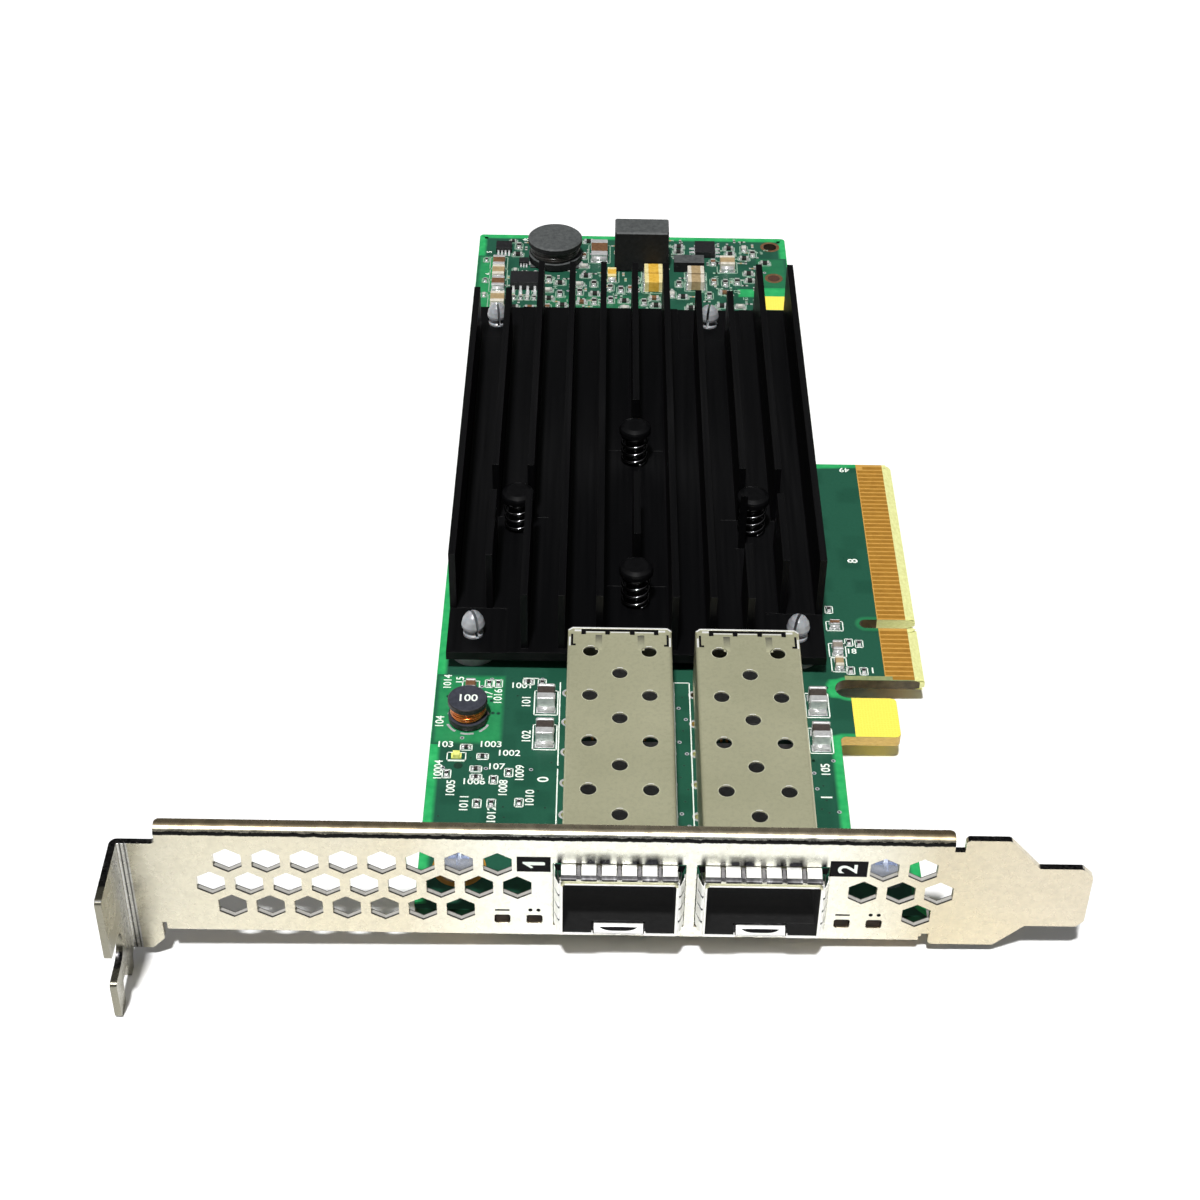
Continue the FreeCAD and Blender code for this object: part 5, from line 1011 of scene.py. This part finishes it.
# ------------------------------------------------------------------ spring collars, with curved fingers
YFACE = -1.43
for tag, pc in (("1", 25.63), ("2", 43.23)):
    c = Mesh()
    w2, H = 14.35 / 2, 9.10
    band = 0.13

    def ringbox(o_, i_, y0, y1):
        a = [(pc - w2 - o_, -o_), (pc + w2 + o_, -o_), (pc + w2 + o_, H + o_), (pc - w2 - o_, H + o_)]
        b = [(pc - w2 - i_, -i_), (pc + w2 + i_, -i_), (pc + w2 + i_, H + i_), (pc - w2 - i_, H + i_)]
        pts = [(x, y0, z) for x, z in a] + [(x, y0, z) for x, z in b] + [(x, y1, z) for x, z in a] + [(x, y1, z) for x, z in b]
        fs = []
        for i in range(4):
            j = (i + 1) % 4
            fs += [(i, j, 4 + j, 4 + i), (8 + i, 12 + i, 12 + j, 8 + j), (i, 8 + i, 8 + j, j), (4 + i, 4 + j, 12 + j, 12 + i)]
        c.add(pts, fs, M_BRIGHT)
    ringbox(band, 0.0, -3.62, -2.95)
    # profile of a finger: (outward, y); on the top and bottom rows the curled front lip gets painted shade
    lip = [(0.08, -3.30), (0.12, -3.46), (0.20, -3.52), (0.28, -3.46), (0.36, -3.34), (0.48, -3.06)]
    plate = [(0.50, -2.98), (0.66, -2.54), (0.80, -2.12), (0.84, -1.86), (0.83, -1.50)]
    th = 0.10

    def finger(prof, fa, fb, frame_fn, m):
        n_ = len(prof)
        pts = []
        for k in range(n_):
            a = prof[max(k - 1, 0)]
            b = prof[min(k + 1, n_ - 1)]
            du, dv = b[0] - a[0], b[1] - a[1]
            ll = math.hypot(du, dv)
            nu, nv = dv / ll * th / 2, -du / ll * th / 2
            for sg in (1, -1):
                u, v = prof[k][0] + sg * nu, prof[k][1] + sg * nv
                for e in (fa, fb):
                    pts.append(frame_fn(u, v, e))
        fs = []
        for k in range(n_ - 1):
            o0, o1 = 4 * k, 4 * (k + 1)
            fs += [(o0, o0 + 1, o1 + 1, o1), (o0 + 2, o1 + 2, o1 + 3, o0 + 3), (o0, o1, o1 + 2, o0 + 2), (o0 + 1, o0 + 3, o1 + 3, o1 + 1)]
        fs += [(0, 2, 3, 1), (4 * n_ - 4, 4 * n_ - 3, 4 * n_ - 1, 4 * n_ - 2)]
        c.add(pts, fs, m, False)

    def top(u, v, e):
        return (e, v, H + u)

    def bottom(u, v, e):
        return (e, v, -u)

    def left(u, v, e):
        return (pc - w2 - u, v, e)

    def right_(u, v, e):
        return (pc + w2 + u, v, e)
    # painted shade on the plate beneath the fingers, painted highlight on the finger plates, and grey posts of painted
    # shade in the gaps
    under_plate = [(0.10, -3.30), (0.26, -2.9), (0.34, -2.4), (0.40, -1.50)]
    for fn, length in ((top, 7.16), (bottom, 7.16)):
        finger(under_plate, pc - length, pc + length, fn, M_SHADE_STEEL)
        for i in range(6):
            a = pc - 7.12 + 2.475 * i
            finger(lip, a, a + 1.86, fn, M_SHADE_STEEL)
            finger(plate, a, a + 1.78, fn, M_HIGHLIGHT_STEEL)
            if i < 5:
                finger([(0.40, -3.0), (0.58, -2.5), (0.70, -2.1), (0.72, -1.55)], a + 1.78 + 0.18, a + 1.78 + 0.52, fn, M_FINGER_GAP_SHADE)
    for fn in (left, right_):
        finger(under_plate, 0.1, H - 0.1, fn, M_SHADE_STEEL)
        for i in range(4):
            a = 0.25 + 2.2 * i
            finger(lip, a, a + 1.72, fn, M_HIGHLIGHT_STEEL)
            finger(plate, a, a + 1.72, fn, M_HIGHLIGHT_STEEL)
    # painted shade: dark patches at the upper corners of the opening
    for sgn in (-1, 1):
        tri = [(pc + sgn * 8.05, YFACE - 0.03, 9.93), (pc + sgn * 7.18, YFACE - 0.03, 9.93), (pc + sgn * 7.18, YFACE - 0.03, 8.9), (pc + sgn * 7.75, YFACE - 0.03, 8.75)]
        c.add(tri if sgn < 0 else tri[::-1], [(0, 3, 2, 1)], M_BLACK_PRINT_AND_SHADE)
    o = c.build("collar_fingers_" + tag)
    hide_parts("spring_collar_" + tag)

# ------------------------------------------------------------------ cage rear fold, floor plate and latch tongue
g = Mat("groove_shade", rough=0.45, metal=0.35, spec=0.5)
at = g.n("ShaderNodeAttribute")
at.attribute_name = "glow"
nz = g.noise(1800, 3.0, 0.7)
g.base(g.mix(at.outputs["Fac"], g.ramp(nz, [(0.3, (0.50, 0.49, 0.33)), (0.75, (0.62, 0.61, 0.41))]), g.ramp(nz, [(0.3, (0.10, 0.10, 0.08)), (0.7, (0.16, 0.155, 0.12))])))
M_GROOVE = g.m
for tag, pc in (("1", 25.63), ("2", 43.23)):
    d = Mesh()
    zt, yr = 9.112, 44.1
    # painted shade in the two grooves, darker towards the rear
    for dx in (-2.9, 2.9):
        x0, x1, y0, y1 = pc + dx - 0.46, pc + dx + 0.46, yr - 4.3, yr - 1.15
        d.add([(x0, y0, zt), (x1, y0, zt), (x1, y1, zt), (x0, y1, zt)], [(0, 1, 2, 3)], M_GROOVE, glow=[0.0, 0.0, 1.0, 1.0])
    lip_pts = [(pc - 7.15, yr - 0.5), (pc + 7.15, yr - 0.5), (pc + 7.15, yr - 0.15), (pc + 6.55, yr + 0.45), (pc - 6.55, yr + 0.45), (pc - 7.15, yr - 0.15)]
    d.add([(x, y, z) for z in (8.95, 9.108) for x, y in lip_pts], [(6, 7, 8, 9, 10, 11), (5, 4, 3, 2, 1, 0)] + [(i, (i + 1) % 6, 6 + (i + 1) % 6, 6 + i) for i in range(6)], M_CAGE)
    # painted highlight strips and painted-shade slots along the rear fold and down the side walls
    d.box(pc - 6.5, pc + 6.5, yr + 0.18, yr + 0.44, 9.10, 9.15, M_HIGHLIGHT_STEEL, 0.02)
    for sgn in (-1, 1):
        d.add([(pc + sgn * 6.55, yr + 0.45, 9.12), (pc + sgn * 6.42, yr + 0.22, 9.12), (pc + sgn * 6.95, yr - 0.30, 9.12), (pc + sgn * 7.15, yr - 0.15, 9.12)][::sgn], [(0, 1, 2, 3)], M_HIGHLIGHT_STEEL)
    for a, b in ((-4.9, -1.9), (-1.5, 1.5), (1.9, 4.9)):
        d.rect(pc + a, pc + b, yr - 0.40, yr + 0.08, zt + 0.002, M_BLACK_PRINT_AND_SHADE)
        d.rect(pc + a + 0.2, pc + b - 0.2, yr - 0.66, yr - 0.46, zt + 0.002, M_HIGHLIGHT_STEEL)
    for dx in (-5.0, -1.7, 1.7, 5.0):
        d.rect(pc + dx - 0.32, pc + dx + 0.32, yr - 1.05, yr + 0.08, zt + 0.003, M_BLACK_PRINT_AND_SHADE)
    for dx in (-5.75, 5.75):
        d.rect(pc + dx - 0.5, pc + dx + 0.5, yr - 0.45, yr - 0.05, zt + 0.002, M_HIGHLIGHT_STEEL)
    for sgn in (-1, 1):
        for xa, xb, ya, yb in ((6.05, 6.72, yr - 3.45, yr - 3.05), (6.42, 6.72, yr - 3.05, yr - 1.0)):
            d.rect(pc + min(sgn * xa, sgn * xb), pc + max(sgn * xa, sgn * xb), ya, yb, zt + 0.001, M_BLACK_PRINT_AND_SHADE)
        d.rect(pc + min(sgn * 6.76, sgn * 7.0), pc + max(sgn * 6.76, sgn * 7.0), yr - 3.5, yr - 1.6, zt + 0.001, M_HIGHLIGHT_STEEL)
        xs = pc + sgn * (14.35 / 2 + 0.006)
        for ya, yb, za, zb in ((yr - 3.4, yr - 3.1, 6.0, 8.4), (yr - 3.4, yr - 0.9, 5.8, 6.05), (yr - 1.1, yr - 0.85, 1.2, 5.9)):
            q4 = [(xs, ya, za), (xs, yb, za), (xs, yb, zb), (xs, ya, zb)]
            d.add(q4 if sgn > 0 else q4[::-1], [(0, 1, 2, 3)], M_BLACK_PRINT_AND_SHADE)
    # painted highlight round each vent, with a brighter painted glint arc at its far side
    for k in range(8):
        for dx in ((-4.0, 4.0) if k % 2 == 0 else (0.0,)):
            y = 39.5 - 4.49 * k
            d.disc(pc + dx, y, 1.055, 1.16, zt, M_VENT_HIGHLIGHT, 28)
            d.poly([(pc + dx + r_ * math.cos(math.radians(q)), y + r_ * math.sin(math.radians(q))) for r_, qs in ((1.07, range(69, 112, 6)), (1.20, range(111, 68, -6))) for q in qs][::-1], zt + 0.003, M_HIGHLIGHT_STEEL)
    # painted highlight along the rim round the mouth
    w2 = 14.35 / 2
    for x0, x1, z0, z1 in ((pc - w2 + 0.5, pc + w2 - 0.5, 8.86, 9.09), (pc - w2 + 0.01, pc - w2 + 0.24, 0.02, 8.6), (pc + w2 - 0.24, pc + w2 - 0.01, 0.02, 8.6)):
        d.box(x0, x1, -3.93, -3.86, z0, z1, M_HIGHLIGHT_STEEL)
    d.build("cage_details_" + tag)
    fl = Mesh()
    fl.box(pc - 6.9, pc + 6.9, -1.7, 31.0, 0.0, 0.25, M_CAGE)
    # painted highlight along the front edge of the floor plate and on its two posts
    for x0, x1 in ((pc - 7.1, pc - 3.35), (pc + 3.35, pc + 7.1)):
        fl.box(x0, x1, -3.70, -1.7, 0.02, 0.25, M_CAGE)
        fl.box(x0, x1, -3.92, -3.70, 0.0, 0.26, M_HIGHLIGHT_STEEL, 0.03)
    for sgn in (-1, 1):
        fl.box(pc + sgn * 3.26 - 0.09, pc + sgn * 3.26 + 0.09, -3.92, -3.70, 0.0, 0.62, M_HIGHLIGHT_STEEL, 0.03)
    fl.box(pc - 2.85, pc + 2.85, -1.75, -1.70, 0.0, 0.25, M_CAGE)
    # sloped tongue: painted highlight on top, painted shade behind, and its lens-shaped opening is a painted-shade
    # patch, not a cut
    prof = [(-3.88, 0.46), (-3.80, 0.56), (-3.18, 1.12), (-3.02, 1.18), (-2.86, 1.10), (-1.74, 0.26)]
    n_ = 16
    pts, fs, mi = [], [], []
    for k, (y, z) in enumerate(prof):
        for i in range(n_ + 1):
            pts.append((pc - 3.05 + 6.1 * i / n_, y, z))
    for k, (y, z) in enumerate(prof):
        for i in range(n_ + 1):
            pts.append((pc - 3.05 + 6.1 * i / n_, y, z - 0.12))
    m_ = len(prof) * (n_ + 1)
    back = []
    for k in range(len(prof) - 1):
        for i in range(n_):
            a, b = k * (n_ + 1) + i, (k + 1) * (n_ + 1) + i
            (fs if k < 4 else back).append((a, a + 1, b + 1, b))
            back.append((m_ + a, m_ + b, m_ + b + 1, m_ + a + 1))
    for i in range(n_):
        fs.append((i, m_ + i, m_ + i + 1, i + 1))
    fl.add(pts, fs, M_HIGHLIGHT_STEEL)
    fl.add(pts, back, M_SHADE_STEEL)
    lens_pts = []
    for i in range(13):
        t = -1 + i / 6.0
        lens_pts.append((t * 2.4, 0.15 + 0.04 * (1 - t * t)))
    for i in range(12, -1, -1):
        t = -1 + i / 6.0
        lens_pts.append((t * 2.4, 0.15 - 0.46 * (1 - t ** 4)))
    lens_pts = lens_pts[:12] + lens_pts[13:-1]
    u_ = Vector((0, 0.62, 0.56)).normalized()
    nrm = Vector((0, -0.56, 0.62)).normalized() * 0.012
    fl.add([(pc + a, -3.88 + u_.y * (0.50 + b) + nrm.y, 0.49 + u_.z * (0.50 + b) + nrm.z) for a, b in lens_pts], [tuple(range(len(lens_pts)))[::-1]], M_BLACK_PRINT_AND_SHADE)
    o = fl.build("cage_floor_plate_" + tag)
    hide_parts("cage_floor_" + tag)

# ------------------------------------------------------------------ floor, light, camera
SKY_LOW, SKY_MID, SKY_HIGH, SKY_TOP = 0.05, 0.08, 0.16, 0.30
PANEL_L, PANEL_R, KEY = 0.45, 0.15, 4.0


def table_z(x, y):
    return -8.4 + 0.0290 * (x + 36.0) + 0.01633 * (y + 11.0)


fm = bpy.data.meshes.new("floor")
S = 2600.0
corners = [(-S, -S), (S, -S), (S, S), (-S, S)]
fm.from_pydata([tuple(W(x + 24, y + 78, table_z(x + 24, y + 78) - 0.02)) for x, y in corners], [], [(0, 1, 2, 3)])
fm.materials.append(M_FLOOR)
floor = bpy.data.objects.new("floor", fm)
bpy.context.scene.collection.objects.link(floor)

sc = bpy.context.scene
world = bpy.data.worlds.new("studio")
sc.world = world
world.use_nodes = True
nt = world.node_tree
nt.nodes.clear()
wo = nt.nodes.new("ShaderNodeOutputWorld")
bg = nt.nodes.new("ShaderNodeBackground")
tc = nt.nodes.new("ShaderNodeTexCoord")
sx = nt.nodes.new("ShaderNodeSeparateXYZ")
nt.links.new(tc.outputs["Generated"], sx.inputs[0])


def wramp(sock, stops):
    rp = nt.nodes.new("ShaderNodeValToRGB")
    el = rp.color_ramp.elements
    while len(el) < len(stops):
        el.new(0.5)
    for i, (p, v) in enumerate(stops):
        el[i].position = p
        el[i].color = (v, v, v * 0.985, 1)
    nt.links.new(sock, rp.inputs["Fac"])
    return rp.outputs["Color"]


def wmath(op, a, b):
    t = nt.nodes.new("ShaderNodeMath")
    t.operation = op
    for k, v in ((0, a), (1, b)):
        if isinstance(v, (int, float)):
            t.inputs[k].default_value = v
        else:
            nt.links.new(v, t.inputs[k])
    return t.outputs[0]


def wpanel(direction, inner, outer, power):
    """Soft round panel of light seen in a given direction."""
    t = nt.nodes.new("ShaderNodeVectorMath")
    t.operation = "DOT_PRODUCT"
    nt.links.new(tc.outputs["Generated"], t.inputs[0])
    d = Vector(direction).normalized()
    t.inputs[1].default_value = d
    return wmath("MULTIPLY", wramp(t.outputs["Value"], [(0.0, 0.0), (outer, 0.0), (inner, 1.0), (1.0, 1.0)]), power)


total = wramp(sx.outputs["Z"], [(0.0, 0.80), (0.10, 0.62), (0.20, SKY_LOW), (0.50, SKY_LOW), (0.70, SKY_MID), (0.84, SKY_HIGH), (1.0, SKY_TOP)])
for args in (((-0.93, -0.30, 0.30), 0.94, 0.80, PANEL_L), ((0.93, -0.25, 0.30), 0.94, 0.82, PANEL_R)):
    total = wmath("ADD", total, wpanel(*args))
nt.links.new(total, bg.inputs["Color"])
bg.inputs["Strength"].default_value = 1.0
nt.links.new(bg.outputs[0], wo.inputs["Surface"])

key = bpy.data.lights.new("key", "SUN")
key.energy = KEY
key.angle = math.radians(4.5)
ko = bpy.data.objects.new("key", key)
sc.collection.objects.link(ko)
ko.location = (-0.08, -0.385, 0.92)
ko.rotation_mode = "QUATERNION"
ko.rotation_quaternion = Vector((0.08, 0.385, -0.92)).to_track_quat("-Z", "Y")

cam_data = bpy.data.cameras.new("camera")
cam_data.sensor_width = 36.0
cam_data.lens = 65.9219
cam_data.clip_start = 0.01
cam_data.clip_end = 50.0
cam = bpy.data.objects.new("camera", cam_data)
sc.collection.objects.link(cam)
right = Vector((0.99987762, 0.00763044, 0.01365728)).normalized()
fwd = Vector((0.00273849, 0.77413964, -0.63300894)).normalized()
up = right.cross(fwd).normalized()
right = fwd.cross(up).normalized()
rot = Matrix((right, up, -fwd)).transposed().to_4x4()
rot.translation = W(21.98266, -188.47351, 204.55029)
cam.matrix_world = rot
sc.camera = cam
sc.view_settings.view_transform = "Standard"
sc.view_settings.look = "None"
sc.view_settings.exposure = 0.0
sc.view_settings.gamma = 1.0
